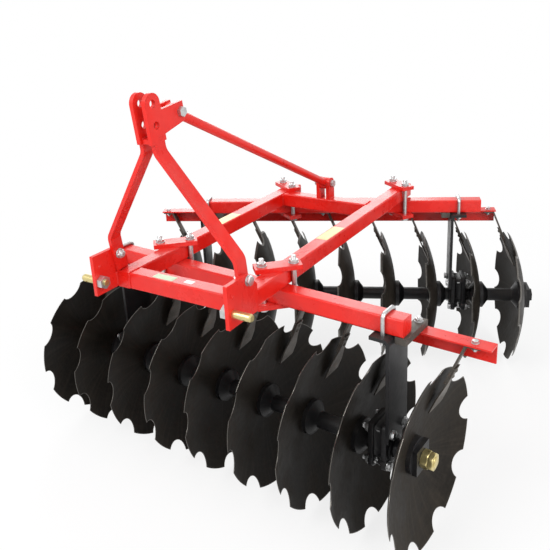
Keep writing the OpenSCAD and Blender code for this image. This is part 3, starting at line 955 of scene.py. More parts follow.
@dataclass(frozen=True)
class DiscSteel(Finish):
    """Varnished dark rolled steel with faint rings and streaks, brown dust and a ground edge.

    It reads the dishes' own values: their flat place about the shaft as a UV map called
    dish, a number for each disc called seed, and 1 on the ground edge, called ground.
    """

    name: str = "Disc steel"
    colour: tuple = (0.010, 0.0086, 0.0073)
    brown: tuple = (0.040, 0.033, 0.026)
    dust: tuple = (0.080, 0.066, 0.053)
    bright: tuple = (0.17, 0.158, 0.143)
    scored: float = 0.6
    cut: tuple = (0.25, 0.8)
    specular: float = 0.06
    depth: float = 0.00009

    def fill(self, g: MaterialGraph) -> None:
        """Rings from a wave about the shaft, streaks from noise of the direction from it.

        Patches come from noise shifted by the seed.

        Args:
            g: graph of the material.
        """
        flat = g.node("ShaderNodeUVMap", uv_map="dish").outputs[0]
        seed, ground = (g.node("ShaderNodeAttribute", attribute_name=key).outputs["Fac"]
                        for key in ("seed", "ground"))
        shift = g.node("ShaderNodeCombineXYZ")
        g.feed(shift.inputs["Z"], seed)
        g.at = g.vector("ADD", flat, shift.outputs[0])
        wave = g.node("ShaderNodeTexWave", wave_type="RINGS", rings_direction="Z")
        g.feed_all(wave, {"Vector": flat, "Scale": 17.0, "Distortion": 6.0, "Detail": 4.0,
                          "Detail Scale": 2.2})
        ring = g.ramp(wave.outputs["Fac"], 0.55, 1.0)
        mottle, dust = g.mottle(scale=7.0), g.dust(scale=12.0, amount=0.5)
        way = g.stretched(g.vector("NORMALIZE", flat), (7.0, 7.0, 1.0))
        spun = g.vector("ADD", way, g.stretched(g.at, (2.5, 2.5, 1.0)))
        streak = g.ramp(g.noise(spun, scale=2.0, detail=6.0, rough=0.65), 0.45, 0.75)
        patches = g.math("ADD", g.math("MULTIPLY", mottle, 0.45),
                         g.math("MULTIPLY", streak, 0.40))
        brown = g.math("ADD", patches, g.math("MULTIPLY", ring, 0.08))
        rolled = g.mix(dust, g.mix(brown, self.colour, self.brown), self.dust)
        lines = g.noise(g.stretched(g.at, (900.0, 60.0, 1.0)), scale=1.0, detail=3.0)
        steel = g.mix(g.ramp(lines, 0.3, 0.7), tuple(self.scored * c for c in self.bright),
                      self.bright)
        rough = g.math("ADD", g.ramp(mottle, 0.0, 1.0, 0.36, 0.52),
                       g.math("MULTIPLY", dust, 0.6), True)
        g.feed_all(g.shader, {
            "Base Color": g.mix(g.ramp(ground, *self.cut), rolled, steel),
            "Metallic": g.ramp(ground, *self.cut, 0.0, 0.9),
            "Roughness": g.math("MULTIPLY", rough, g.ramp(ground, *self.cut, 1.0, 0.75)),
            "Specular IOR Level": self.specular})
        skin = g.math("ADD", g.skin(scale=190.0, roll=1.4), g.math("MULTIPLY", ring, 0.1))
        g.relief(skin, self.depth, ease=0.0008)


@dataclass(frozen=True)
class BareSteel(Finish):
    """Bare mill steel, grey-brown, with drawn lines and thin rust."""

    name: str = "Bare steel"
    colour: tuple = (0.145, 0.128, 0.110)
    dark: tuple = (0.055, 0.048, 0.042)
    rust: tuple = (0.16, 0.075, 0.035)
    bright: tuple = (0.36, 0.34, 0.31)
    depth: float = 0.00012

    def fill(self, g: MaterialGraph) -> None:
        """Scale and bare metal mixed by mottle and lines, with rust where a noise peaks.

        Args:
            g: graph of the material.
        """
        mottle = g.mottle(scale=16.0)
        lines = g.noise(g.stretched(g.at, (40.0, 40.0, 420.0)), scale=1.0, detail=3.0)
        rust = g.ramp(g.noise(g.at, scale=38.0, detail=6.0, rough=0.65), 0.56, 0.74, 0.0, 0.7)
        metal = g.mix(g.math("MULTIPLY", g.math("ADD", mottle, lines), 0.55),
                      self.dark, self.colour)
        worn = g.wear(width=0.0018, scale=110.0, amount=0.9)
        g.feed_all(g.shader, {
            "Base Color": g.mix(worn, g.mix(rust, metal, self.rust), self.bright),
            "Metallic": g.ramp(rust, 0.0, 0.6, 0.55, 0.1),
            "Roughness": g.ramp(mottle, 0.0, 1.0, 0.62, 0.44)})
        g.relief(g.skin(scale=300.0, roll=1.0), self.depth, ease=0.0012)


@dataclass(frozen=True)
class Plating(Finish):
    """Zinc plate, silvery or yellow, with clouding and a little grime."""

    name: str = "Zinc plate"
    colour: tuple = (0.66, 0.665, 0.66)
    cloud: tuple = (0.46, 0.465, 0.47)
    grime: tuple = (0.12, 0.105, 0.085)
    depth: float = 0.00003

    def fill(self, g: MaterialGraph) -> None:
        """Bright metal, clouded by mottle and darkened by grime in patches.

        Args:
            g: graph of the material.
        """
        mottle = g.mottle(scale=60.0)
        grime = g.ramp(g.noise(g.at, scale=95.0, detail=5.0, rough=0.6), 0.56, 0.78, 0.0, 0.65)
        g.feed_all(g.shader, {
            "Base Color": g.mix(grime, g.mix(mottle, self.cloud, self.colour), self.grime),
            "Metallic": g.ramp(grime, 0.0, 0.65, 0.92, 0.4),
            "Roughness": g.ramp(mottle, 0.0, 1.0, 0.42, 0.27)})
        g.relief(g.skin(scale=700.0, roll=0.6), self.depth, ease=0.0008)


@dataclass(frozen=True)
class Vinyl(Finish):
    """Blank pale label, faded in patches and scuffed."""

    name: str = "Blank label"
    colour: tuple = (0.76, 0.68, 0.27)
    faded: tuple = (0.80, 0.76, 0.46)
    scuff: tuple = (0.72, 0.50, 0.36)
    depth: float = 0.00005

    def fill(self, g: MaterialGraph) -> None:
        """Pale colour faded in patches, with scuffs drawn out along the label.

        Args:
            g: graph of the material.
        """
        mottle = g.mottle(scale=22.0)
        marks = g.noise(g.stretched(g.at, (260.0, 30.0, 30.0)), scale=1.0, detail=5.0)
        scuff = g.ramp(marks, 0.6, 0.78, 0.0, 0.5)
        g.feed_all(g.shader, {
            "Base Color": g.mix(scuff, g.mix(mottle, self.colour, self.faded), self.scuff),
            "Roughness": g.ramp(mottle, 0.0, 1.0, 0.38, 0.55)})
        g.relief(g.skin(scale=420.0, roll=1.5), self.depth, ease=0.0003)


class Coat(Enum):
    """The finishes of the harrow."""

    RED = Enamel()
    BLACK = BlackPaint()
    CASTING = BlackPaint(name="Black casting", rough=0.40, grain=420.0, depth=0.0003)
    DISC = DiscSteel()
    BARE = BareSteel()
    ZINC = Plating()
    YELLOW = Plating(name="Yellow zinc plate", colour=(0.74, 0.62, 0.28),
                     cloud=(0.56, 0.47, 0.22))
    LABEL = Vinyl()
    GREEN_LABEL = Vinyl(name="Pale green label", colour=(0.40, 0.62, 0.38),
                        faded=(0.70, 0.74, 0.58))
    WHITE_LABEL = Vinyl(name="White label", colour=(0.86, 0.85, 0.82), faded=(0.92, 0.90, 0.86))


class Wardrobe:
    """Makes each finish once, gives the CAD nodes theirs and adds pieces in them."""

    SLOTS = {
        "red_paint": Coat.RED, "black_steel": Coat.BLACK, "black_casting": Coat.CASTING,
        "disc_steel": Coat.DISC, "scraper_steel": Coat.BARE, "zinc": Coat.ZINC,
        "yellow_zinc": Coat.YELLOW,
    }
    LABEL_SLOT = "red_paint"

    def __init__(self) -> None:
        """Makes the effect groups and the materials."""
        effects = Effects()
        self._made = {coat: coat.value.material(effects) for coat in Coat}
        self._slot_of = {coat: slot for slot, coat in self.SLOTS.items()}

    def dress_nodes(self, frame: dict) -> None:
        """Gives every CAD node the finish of its material slot in the record.
        """
        slots = {s["node"]: s["material_slot"] for s in frame["record"]["subparts"]}
        for name, node in frame["nodes"].items():
            node.data.materials.clear()
            node.data.materials.append(self._made[self.SLOTS[slots[name]]])

    def add(self, name: str, shell: Shell, coat: Coat, body: str = "frame",
            replaced: tuple = (), sharp: float = 32.0) -> None:
        """Adds a piece in a finish.

        Args:
            name: name of the new object.
            shell: its surface, in the row frame.
            coat: its finish.
            body: CAD body that it rides on.
            replaced: CAD nodes that it stands in for.
            sharp: angle in degrees past which an edge is drawn sharp.
        """
        slot = self._slot_of.get(coat, self.LABEL_SLOT)
        piece = add_piece(name, shell, body, self._made[coat], slot, sharp)
        if replaced:
            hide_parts(*replaced)


# Sub-assemblies


@dataclass
class DiscGang:
    """Notched dishes of one gang, with their ground edges, and the shaft's end nut."""

    frame: GangFrame
    radius: float = 0.255
    dish_r: float = 0.600
    flat_r: float = 0.056
    hole_r: float = 0.030
    notch_r: float = 0.043
    notch_out: float = 0.011
    notches: int = 9
    lip: float = 0.0025
    bevel: float = 0.006
    behind: float = 0.0004
    edge_t: float = 0.0016
    lip_ground: float = 0.25
    fan_rows: int = 8
    tooth_points: int = 9
    notch_points: int = 16
    seed_step: float = 3.7
    sharp: float = 22.0
    cap_t: float = 0.028
    nut_flats: float = 0.046
    nut_l: float = 0.040
    nut_shares: tuple = (0.52, 0.36)
    thread_r: float = 0.0155
    thread_pitch: float = 0.0030
    thread_short: float = 0.001
    lock_turn: float = math.radians(17.0)

    def outline(self, inset: float) -> Array:
        """Toothed edge of a disc, drawn in by an inset.

        Args:
            inset: distance that every arc of the edge is drawn in by.

        Returns:
            Points (around, 2). A tooth is an arc of radius r = R - inset about the shaft, and
            a notch is an arc of radius n + inset about a point at radius c, just outside the
            rim. They meet where the cosine law gives the notch's half angle p:
            cos p = (c2 + n2 - r2) / (2 c n).
        """
        r, n = self.radius - inset, self.notch_r + inset
        out = self.radius + self.notch_out
        half = math.acos((out**2 + n**2 - r**2) / (2.0 * out * n))
        reach = math.atan2(n * math.sin(half), out - n * math.cos(half))
        pitch = 2.0 * math.pi / self.notches
        tooth = np.linspace(reach - pitch / 2.0, pitch / 2.0 - reach, self.tooth_points)
        psi = np.linspace(-half, half, self.notch_points)[1:-1]
        arc = np.stack([out - n * np.cos(psi), n * np.sin(psi)], axis=-1)
        sector = np.concatenate([r * np.stack([np.cos(tooth), np.sin(tooth)], axis=-1),
                                 arc @ about_z(pitch / 2.0)[:2, :2].T])
        return np.concatenate([sector @ about_z(pitch * i)[:2, :2].T
                               for i in range(self.notches)])

    def dish(self, number: int) -> Shell:
        """One dish about Z: hollow face out to the edge, ground slope, and back in behind it.

        Args:
            number: number of the disc, for its turn and its seed.

        Returns:
            The shell. Its faces are spheres of radius D and D - t about one centre, so their
            heights at radius r are c - sqrt(D2 - r2) and c - sqrt((D - t)2 - r2), each no
            less than that face's flat.
        """
        edge, lip, slope = (self.outline(inset) for inset in (0.0, self.lip, self.bevel))
        inner = self.outline(self.bevel + self.behind)
        hub = self.hole_r * inner / np.linalg.norm(inner, axis=1, keepdims=True)
        fan = hub + np.linspace(0.0, 1.0, self.fan_rows)[:, None, None] * (inner - hub)
        flat = np.concatenate([fan, [lip, edge, edge, slope], fan[::-1]])
        r, rows, thick = np.linalg.norm(flat, axis=-1), self.fan_rows, LAYOUT.disc_t
        centre = math.sqrt(self.dish_r**2 - self.flat_r**2)
        front = np.maximum(thick, centre - np.sqrt((self.dish_r - thick) ** 2 - r**2))
        back = np.maximum(0.0, centre - np.sqrt(self.dish_r**2 - r**2))
        height = np.concatenate([front[: rows + 2], front[rows + 2 : rows + 3] - self.edge_t,
                                 back[rows + 3 :]])
        flat = flat @ about_z(math.radians(self.frame.disc_turns[number]))[:2, :2].T
        ground = np.zeros(r.shape)
        ground[rows + 1 : rows + 4] = 1.0
        ground[rows] = self.lip_ground
        values = {"ground": ground.ravel(), "seed": np.full(r.size, self.seed_step * number),
                  "dish": flat.reshape(-1, 2)}
        return ring_shell(np.concatenate([flat, height[..., None]], axis=-1), values)

    def shaft_shell(self, shell: Shell, x: float) -> Shell:
        """Carries a shell about Z onto the shaft: Z runs along local X and X points down."""
        return self.frame.carry(shell, ALONG_X, (x, 0.0, LAYOUT.axis_z))

    def build(self, coats: Wardrobe) -> None:
        """Makes the dishes and the end nut, which replace their CAD nodes.

        Args:
            coats: the finishes.
        """
        frame = self.frame
        dishes = joined(self.shaft_shell(self.dish(k), frame.seat_x(k))
                        for k in range(LAYOUT.disc_count))
        coats.add(frame.named("ground_discs"), dishes, Coat.DISC, frame.body,
                  (frame.named("discs"),), self.sharp)
        at = frame.seat_x(LAYOUT.disc_count - 1) + LAYOUT.disc_t + self.cap_t
        tall, low = (share * self.nut_l for share in self.nut_shares)
        lock = hex_head(self.nut_flats, low).moved(about_z(self.lock_turn), np.zeros(3))
        end = thread(self.thread_r, self.nut_l - tall - low - self.thread_short,
                     self.thread_pitch)
        parts = [(hex_head(self.nut_flats, tall), at), (lock, at + tall), (end, at + tall + low)]
        nut = joined(self.shaft_shell(shell, x) for shell, x in parts)
        coats.add(frame.named("end_nut"), nut, Coat.YELLOW, frame.body,
                  (frame.named("shaft_nut"),))


@dataclass
class GangMounts:
    """Bearing fittings, U-bolts, scraper bolts and blades of one gang, fixed to the frame."""

    frame: GangFrame
    housing_half: float = 0.028
    hanger_t: float = 0.010
    housing_r: float = 0.052
    lug_half: float = 0.050
    lug_top: float = 0.088
    lug_power: float = 8.0
    bore_r: float = 0.0251
    lug_y: float = 0.036
    lug_z: float = 0.066
    boss_y: float = 0.038
    boss_z: float = -0.036
    boss_r: float = 0.0155
    waist: float = 0.010
    bearing_tail: float = 0.010
    seal_r: float = 0.038
    seal_in: float = 0.0262
    seal_lip: float = 0.002
    seal_ease: float = 0.004
    nipple_y: float = -0.0485
    nipple_z: float = -0.016
    nipple_way: tuple = (0.0, -1.0, -0.35)
    rod_x: float = 0.008
    leg_y: float = 0.0313
    rod_top: float = 0.0563
    corner: float = 0.012
    thread_l: float = 0.020
    scraper_x: float = 0.05385
    scraper_y: float = 0.082
    foot_x: float = 0.022
    foot_tail: float = 0.005
    inner_arm: float = 0.055
    arm_y: float = 0.003
    arm_tail: float = 0.006
    bar_top: float = 0.590
    bar_t: float = 0.005
    arm_t: float = 0.020
    scraper_t: float = 0.006
    strap_half: float = 0.015
    strap_tip: float = 0.455
    lean: float = math.radians(22.5)
    blade_t: float = 0.005
    blade_gap: float = 0.0003
    blade_top: float = 0.508
    blade_low: float = 0.367
    blade_grow: float = 0.009
    grow_from: float = 0.25
    grow_over: float = 0.5
    blade_cut: float = 0.45
    blade_turn: float = math.radians(8.0)
    blade_power: float = 0.25
    rivet_r: float = 0.006
    rivet_h: float = 0.004
    rivet_top: float = 0.1
    rivet_drops: tuple = (0.012, 0.032)
    seal_points: int = 48
    housing_points: int = 144
    bend_points: int = 9
    blade_rows: int = 24
    blade_points: int = 32
    rivet_rows: int = 6

    @property
    def bearings(self) -> list[float]:
        """Local X of the middle of the inner and the outer bearing."""
        return [self.frame.bearing_x(s) for s in (LAYOUT.inner_spool, LAYOUT.outer_spool)]

    def seal(self) -> Shell:
        """Seal ring about Z: a ring whose section is a rounded step, closed on itself.

        Returns:
            The shell, on a grid of section points by angles, with both directions closed.
        """
        r = np.array([self.seal_in, self.seal_in, self.seal_in + self.seal_lip,
                      self.seal_r - self.seal_ease, self.seal_r, self.seal_r])[:, None]
        z = np.array([0.0, 0.0045, 0.006, 0.006, 0.004, 0.0])[:, None]
        a = angles(self.seal_points)
        ring = np.broadcast_arrays(r * np.cos(a), r * np.sin(a), z)
        return ring_shell(np.stack(ring, axis=-1), {})

    def housing(self) -> Shell:
        """Housing about local X: two cast flanges with a waist between them, and the bore.

        Returns:
            The shell, with points (x, r sin a, r cos a) and a from the top. The flange's radius
            is the largest of the round body, the lug, which is a superellipse, and
            the two bolt bosses: m cos(a - b) + sqrt(k2 - m2 sin2(a - b)) for a boss of radius k
            at a distance m and an angle b. Each station along X is drawn in by its inset.
        """
        a, p = angles(self.housing_points), self.lug_power
        up = np.clip(np.cos(a), 0.0, None)
        lug = ((np.abs(np.sin(a)) / self.lug_half) ** p + (up / self.lug_top) ** p) ** (-1.0 / p)
        out = np.maximum(self.housing_r, np.where(up > 0.0, lug, 0.0))
        reach = math.hypot(self.boss_y, self.boss_z)
        for side in SIDES:
            turn = a - math.atan2(side * self.boss_y, self.boss_z)
            inside = self.boss_r**2 - (reach * np.sin(turn)) ** 2
            boss = reach * np.cos(turn) + np.sqrt(np.clip(inside, 0.0, None))
            out = np.maximum(out, np.where((inside > 0.0) & (np.cos(turn) > 0.0), boss, 0.0))
        half = np.array([1.0, 0.95, 0.86, 0.50, 0.43, 0.38, 0.15])
        inset = np.array([0.20, 0.05, 0.0, 0.0, 0.20, 0.80, 1.0]) * self.waist
        x = self.housing_half * np.concatenate([-half, half[::-1], [1.0, -1.0]])
        drawn = np.concatenate([inset, inset[::-1]])
        r = np.concatenate([out - drawn[:, None], np.full((2, len(a)), self.bore_r)])
        ring = np.broadcast_arrays(x[:, None], r * np.sin(a), r * np.cos(a))
        return ring_shell(np.stack(ring, axis=-1), {})

    def castings(self, x: float) -> list[Shell]:
        """Housing and seal rings of a bearing.

        Args:
            x: local X of the bearing.

        Returns:
            Shells in the row frame.
        """
        h, z = self.housing_half, LAYOUT.axis_z
        return [self.frame.carry(self.housing(), UPRIGHT, (x, 0.0, z)),
                self.frame.carry(self.seal(), ALONG_X, (x + h, 0.0, z)),
                self.frame.carry(self.seal(), AGAINST_X, (x - h, 0.0, z))]

    def bearing_bolts(self, x: float) -> list[Shell]:
        """Bolts along the shaft: two through hanger and lug, two through the bosses.

        Args:
            x: local X of the bearing.

        Returns:
            Shells in the row frame.
        """
        h, z, parts = self.housing_half, LAYOUT.axis_z, []
        for side in SIDES:
            for y, high, more in ((self.lug_y, self.lug_z, self.hanger_t),
                                  (self.boss_y, self.boss_z, 0.0)):
                bolt = M14.fitted(2.0 * h + more, self.bearing_tail)
                parts.append(self.frame.carry(bolt, AGAINST_X, (x + h + more, side * y, z + high)))
        return parts

    def nipple(self, x: float) -> Shell:
        """Grease nipple on the front of a bearing.

        Args:
            x: local X of the bearing.

        Returns:
            The shell in the row frame, turned out of radius and height in millimetres.
        """
        r = 0.001 * np.array([5.0, 5.0, 3.0, 3.0, 4.2, 4.2, 2.4])
        h = 0.001 * np.array([0.0, 5.0, 6.0, 10.0, 11.0, 13.5, 15.0])
        at = (x, self.nipple_y, LAYOUT.axis_z + self.nipple_z)
        return self.frame.carry(lathe(r, h), basis(self.nipple_way), at)

    def u_bolt(self, x: float) -> list[Shell]:
        """U-bolt over the beam, with its nuts, washers and threaded ends.

        Args:
            x: local X of the bearing that it holds.

        Returns:
            Shells in the row frame. The rod's middle line runs up a leg, round a quarter
            circle, across the beam and down the other leg.
        """
        top, foot = LAYOUT.beam_z + self.rod_top, LAYOUT.beam_z - self.hanger_t
        a = np.linspace(0.0, np.pi / 2.0, self.bend_points)
        bend_y = self.leg_y - self.corner * (1.0 - np.cos(a))
        bend_z = top - self.corner * (1.0 - np.sin(a))
        y = np.concatenate([[self.leg_y], bend_y, -bend_y[::-1], [-self.leg_y]])
        z = np.concatenate([[foot], bend_z, bend_z[::-1], [foot]])
        path = np.stack([np.full(len(y), x + self.rod_x), y, z], axis=-1)
        bow = rod(path, np.array([1.0, 0.0, 0.0]), U_BOLT.shank_r)
        parts = [self.frame.carry(bow, UPRIGHT, HERE)]
        end = (washer(U_BOLT.washer_r, U_BOLT.washer_t),
               thread(U_BOLT.shank_r, self.thread_l, U_BOLT.pitch),
               hex_head(U_BOLT.flats, U_BOLT.head).raised(U_BOLT.washer_t))
        for side in SIDES:
            at = (x + self.rod_x, side * self.leg_y, foot)
            parts += [self.frame.carry(shell, DOWN, at) for shell in end]
        return parts

    def scraper_bolts(self) -> list[Shell]:
        """Upright bolts: one in each scraper's foot, nut below, and one in each arm.

        Returns:
            Shells in the row frame.
        """
        parts = []
        foot = M10.fitted(self.bar_t + self.scraper_t, self.foot_tail)
        for k in range(LAYOUT.disc_count):
            x = self.frame.seat_x(k) + LAYOUT.rim_in + self.scraper_x + self.foot_x
            parts.append(self.frame.carry(foot, DOWN, (x, self.scraper_y, self.bar_top)))
        arm = M12.fitted(self.arm_t + self.bar_t, self.arm_tail)
        inner, outer = self.bearings
        for x in (inner + self.inner_arm, outer + sum(self.frame.outer_arm) / 2.0):
            at = (x, self.scraper_y + self.arm_y, self.bar_top - self.bar_t)
            parts.append(self.frame.carry(arm, UPRIGHT, at))
        return parts

    def strap_x(self, z: Union[float, Array], off: Union[float, Array]) -> Union[float, Array]:
        """X from the rim plane at a height, and at a distance off the strap's back."""
        return (z - self.strap_tip) * math.tan(self.lean) + off / math.cos(self.lean)

    def blade(self, k: int) -> list[Shell]:
        """Wide blade riveted to the strap of a scraper and reaching into its dish.

        Args:
            k: number of the disc.

        Returns:
            Shells in the row frame. The blade runs down the strap's line, x = (z - z0) tan g from
            the rim plane. Its section is a superellipse of half width w and half thickness h,
            which widens by a smooth step and turns with the dish as it goes down, and its end is
            cut on the slant.
        """
        v = np.linspace(0.0, 1.0, self.blade_rows)[:, None]
        a = angles(self.blade_points)[None, :]
        step = np.clip((v - self.grow_from) / self.grow_over, 0.0, 1.0)
        step = step * step * (3.0 - 2.0 * step)
        half = self.strap_half + self.blade_grow * step
        y = half * np.sign(np.cos(a)) * np.abs(np.cos(a)) ** self.blade_power
        n = self.blade_t / 2.0 * np.sign(np.sin(a)) * np.abs(np.sin(a)) ** self.blade_power
        z = self.blade_top - (self.blade_top - self.blade_low) * v + self.blade_cut * y * v**3
        turn = self.blade_turn * step
        y, n = y * np.cos(turn) - n * np.sin(turn), y * np.sin(turn) + n * np.cos(turn)
        x = self.strap_x(z, self.scraper_t + self.blade_t / 2.0 + self.blade_gap + n)
        rim = self.frame.seat_x(k) + LAYOUT.rim_in
        rings = np.stack([rim + x, self.scraper_y + y, z], axis=-1)
        parts = [self.frame.carry(tube_shell(rings), UPRIGHT, HERE)]
        out = basis((math.cos(self.lean), 0.0, -math.sin(self.lean)))
        b = np.linspace(np.pi / 2.0, self.rivet_top, self.rivet_rows)
        rivet = lathe(self.rivet_r * np.sin(b), self.rivet_h * np.cos(b))
        for drop in self.rivet_drops:
            high = self.blade_top - drop
            at = rim + self.strap_x(high, self.scraper_t + self.blade_t)
            parts.append(self.frame.carry(rivet, out, (at, self.scraper_y, high)))
        return parts

    def build(self, coats: Wardrobe) -> None:
        """Makes the pieces; castings and U-bolts replace their CAD nodes.

        Args:
            coats: the finishes.
        """
        named = self.frame.named
        iron = joined(p for x in self.bearings for p in self.castings(x))
        coats.add(named("cast_bearings"), iron, Coat.CASTING,
                  replaced=(named("inner_bearing"), named("outer_bearing")))
        bolts = joined(p for x in self.bearings for p in self.bearing_bolts(x) + [self.nipple(x)])
        coats.add(named("bearing_bolts"), bolts, Coat.ZINC)
        hoops = joined(p for x in self.bearings for p in self.u_bolt(x))
        coats.add(named("threaded_u_bolts"), hoops, Coat.ZINC, replaced=(named("u_bolts"),))
        coats.add(named("scraper_bolts"), joined(self.scraper_bolts()), Coat.ZINC)
        blades = joined(p for k in range(LAYOUT.disc_count) for p in self.blade(k))
        coats.add(named("scraper_blades"), blades, Coat.BARE)


@dataclass
class BeamClamps:
    """Clamp bolts where a gang beam crosses the side beams."""

    frame: GangFrame
    clamp_t: float = 0.014
    bolt_r: float = 0.008
    spare: float = 0.001
    tail: float = 0.012

    def places(self) -> list[Array]:
        """Feet of the bolts, in the row frame.

        Returns:
            Points at the underside of the lower plates. A bolt stands a reach c from the side
            beam and from the gang beam, so for a beam at angle g it is at
            (c, (s c + c sin g) / cos g) from the crossing, with s = 1 behind the front gang
            beam and -1 ahead of the rear one, and its twin is on the other side.
        """
        reach = LAYOUT.tube / 2.0 + self.bolt_r + self.spare
        angle, way = self.frame.angle, -1.0 if self.frame.mirrored else 1.0
        off = np.array([reach, (way * reach + reach * math.sin(angle)) / math.cos(angle)])
        found = []
        for x in (-LAYOUT.side_x, LAYOUT.side_x):
            y = self.frame.line_y + x * math.tan(angle)
            for sign in SIDES:
                found.append(LAYOUT.point(x + sign * off[0], y + sign * off[1],
                                          LAYOUT.beam_z - self.clamp_t))
        return found

    def build(self, coats: Wardrobe) -> None:
        """Makes the bolts, which replace their CAD node.

        Args:
            coats: the finishes.
        """
        grip = LAYOUT.side_top - LAYOUT.beam_z + 2.0 * self.clamp_t
        bolts = joined(M16.fitted(grip, self.tail).moved(UPRIGHT, at) for at in self.places())
        coats.add(self.frame.named("threaded_clamp_bolts"), bolts, Coat.ZINC,
                  replaced=(self.frame.named("clamp_bolts"),))


@dataclass
class HitchFittings:
    """Mast foot bolts and the small plugs in the hitch plates."""

    bolt_tail: float = 0.006
    plug_y: float = -0.060
    plug_z: float = 0.743
    plug_r: float = 0.0055
    plug_dome: float = 0.4
    plug_top: float = 0.05
    plug_rows: int = 6

    def plug(self) -> Shell:
        """Plug about Z, domed on both sides of a plate.

        Returns:
            The shell, of radius p sin b at a height d p cos b past each face, with d the dome.
        """
        b = np.linspace(self.plug_top, np.pi / 2.0, self.plug_rows)
        high = LAYOUT.plate_t / 2.0 + self.plug_dome * self.plug_r * np.cos(b)
        r = self.plug_r * np.sin(b)
        return lathe(np.concatenate([r, r[::-1]]), np.concatenate([-high, high[::-1]]))

    def build(self, coats: Wardrobe) -> None:
        """Makes the bolts with their nuts on the inside, and the plugs.

        Args:
            coats: the finishes.
        """
        outer, bolts, plugs = LAYOUT.frame_half + LAYOUT.plate_t, [], []
        for side in SIDES:
            out = ALONG_X @ np.diag([1.0, -side, -side])
            head = LAYOUT.point(side * outer, LAYOUT.mast_y, LAYOUT.mast_z)
            bolt = M16.fitted(LAYOUT.plate_t + LAYOUT.mast_t, self.bolt_tail)
            bolts.append(bolt.moved(out, head))
            mid = side * (outer - LAYOUT.plate_t / 2.0)
            plugs.append(self.plug().moved(ALONG_X, LAYOUT.point(mid, self.plug_y, self.plug_z)))
        coats.add("mast_foot_bolts", joined(bolts), Coat.ZINC)
        coats.add("hitch_plate_plugs", joined(plugs), Coat.RED)


@dataclass
class FrameWelds:
    """Painted weld beads of the frame."""

    half: float = 0.0035
    tube_short: float = 0.004
    plate_short: float = 0.003
    plate_end: float = 0.049
    lug_x: float = 0.026
    lug_half: float = 0.020
    gusset_z: float = 0.367
    gusset_half: float = 0.019
    ear_x: float = 0.014
    lean: float = math.radians(7.0)

    def on_mast(self, x: float, y: float, z: float) -> Array:
        """Point of the leaning mast in the row frame: Y and Z turned by the lean."""
        c, s = math.cos(self.lean), math.sin(self.lean)
        return LAYOUT.point(x, LAYOUT.mast_y + y * c - z * s, LAYOUT.mast_z + y * s + z * c)

    def lines(self) -> list[tuple]:
        """Ends of every bead.

        Returns:
            Pairs of points in the row frame.
        """
        p, top, low = LAYOUT.point, LAYOUT.side_top, LAYOUT.side_z
        a, b, found = self.tube_short, self.plate_short, []
        for side in SIDES:
            x = side * (LAYOUT.frame_half - LAYOUT.tube)
            for y in (0.0, LAYOUT.rear_cross_y):
                end = y + LAYOUT.tube
                found += [(p(x, y + a, z), p(x, end - a, z)) for z in (top, low)]
                found += [(p(x, at, low + a), p(x, at, top - a)) for at in (end, y)]
            x = side * LAYOUT.frame_half
            found += [(p(x, b, top), p(x, self.plate_end, top)),
                      (p(x, 0.0, low + b), p(x, 0.0, top - b))]
            x, mid = side * self.lug_x, LAYOUT.rear_cross_y + LAYOUT.tube / 2.0
            found.append((p(x, mid - self.lug_half, top), p(x, mid + self.lug_half, top)))
            x = side * self.ear_x
            found.append((self.on_mast(x, -self.gusset_half, self.gusset_z),
                          self.on_mast(x, self.gusset_half, self.gusset_z)))
        return found

    def build(self, coats: Wardrobe) -> None:
        """Makes all the beads as one piece."""
        beads = joined(bead(a, b, self.half) for a, b in self.lines())
        coats.add("frame_weld_beads", beads, Coat.RED)


@dataclass(frozen=True)
class Label:
    """One blank label: place of its middle, size and finish."""

    name: str
    x: float
    y: float
    width: float
    length: float
    coat: Coat
    thick: float = 0.0004
    corner: float = 0.003


class BlankLabels:
    """Blank labels on top of the side beams and the front cross beam."""

    ALL = (
        Label("right_beam_label", 0.200, 0.535, 0.040, 0.125, Coat.LABEL),
        Label("left_beam_label", -0.200, 0.515, 0.040, 0.125, Coat.LABEL),
        Label("cross_beam_label", -0.058, 0.022, 0.074, 0.027, Coat.GREEN_LABEL),
        Label("small_cross_beam_label", 0.027, 0.026, 0.030, 0.019, Coat.WHITE_LABEL),
    )

    def build(self, coats: Wardrobe) -> None:
        """Makes each label on the top face of its beam.

        Args:
            coats: the finishes.
        """
        for label in self.ALL:
            shell = slab(label.width, label.length, label.thick, label.corner)
            at = LAYOUT.point(label.x, label.y, LAYOUT.side_top)
            coats.add(label.name, joined([shell.moved(UPRIGHT, at)]), label.coat)


@dataclass(frozen=True)
class Lamp:
    """One square area lamp: its place, the length of its side and its power in watts."""

    name: str
    place: tuple
    size: float
    watts: float

    def build(self, middle: Vector) -> None:
        """Makes the lamp, unseen by the camera.

        Args:
            middle: point that it looks at.
        """
        data = bpy.data.lights.new(self.name, "AREA")
        data.size = self.size
        data.energy = self.watts
        lamp = bpy.data.objects.new(self.name, data)
        turn = (middle - Vector(self.place)).to_track_quat("-Z", "Y").to_matrix()
        lamp.matrix_world = Matrix.Translation(self.place) @ turn.to_4x4()
        lamp.visible_camera = False
        bpy.context.scene.collection.objects.link(lamp)


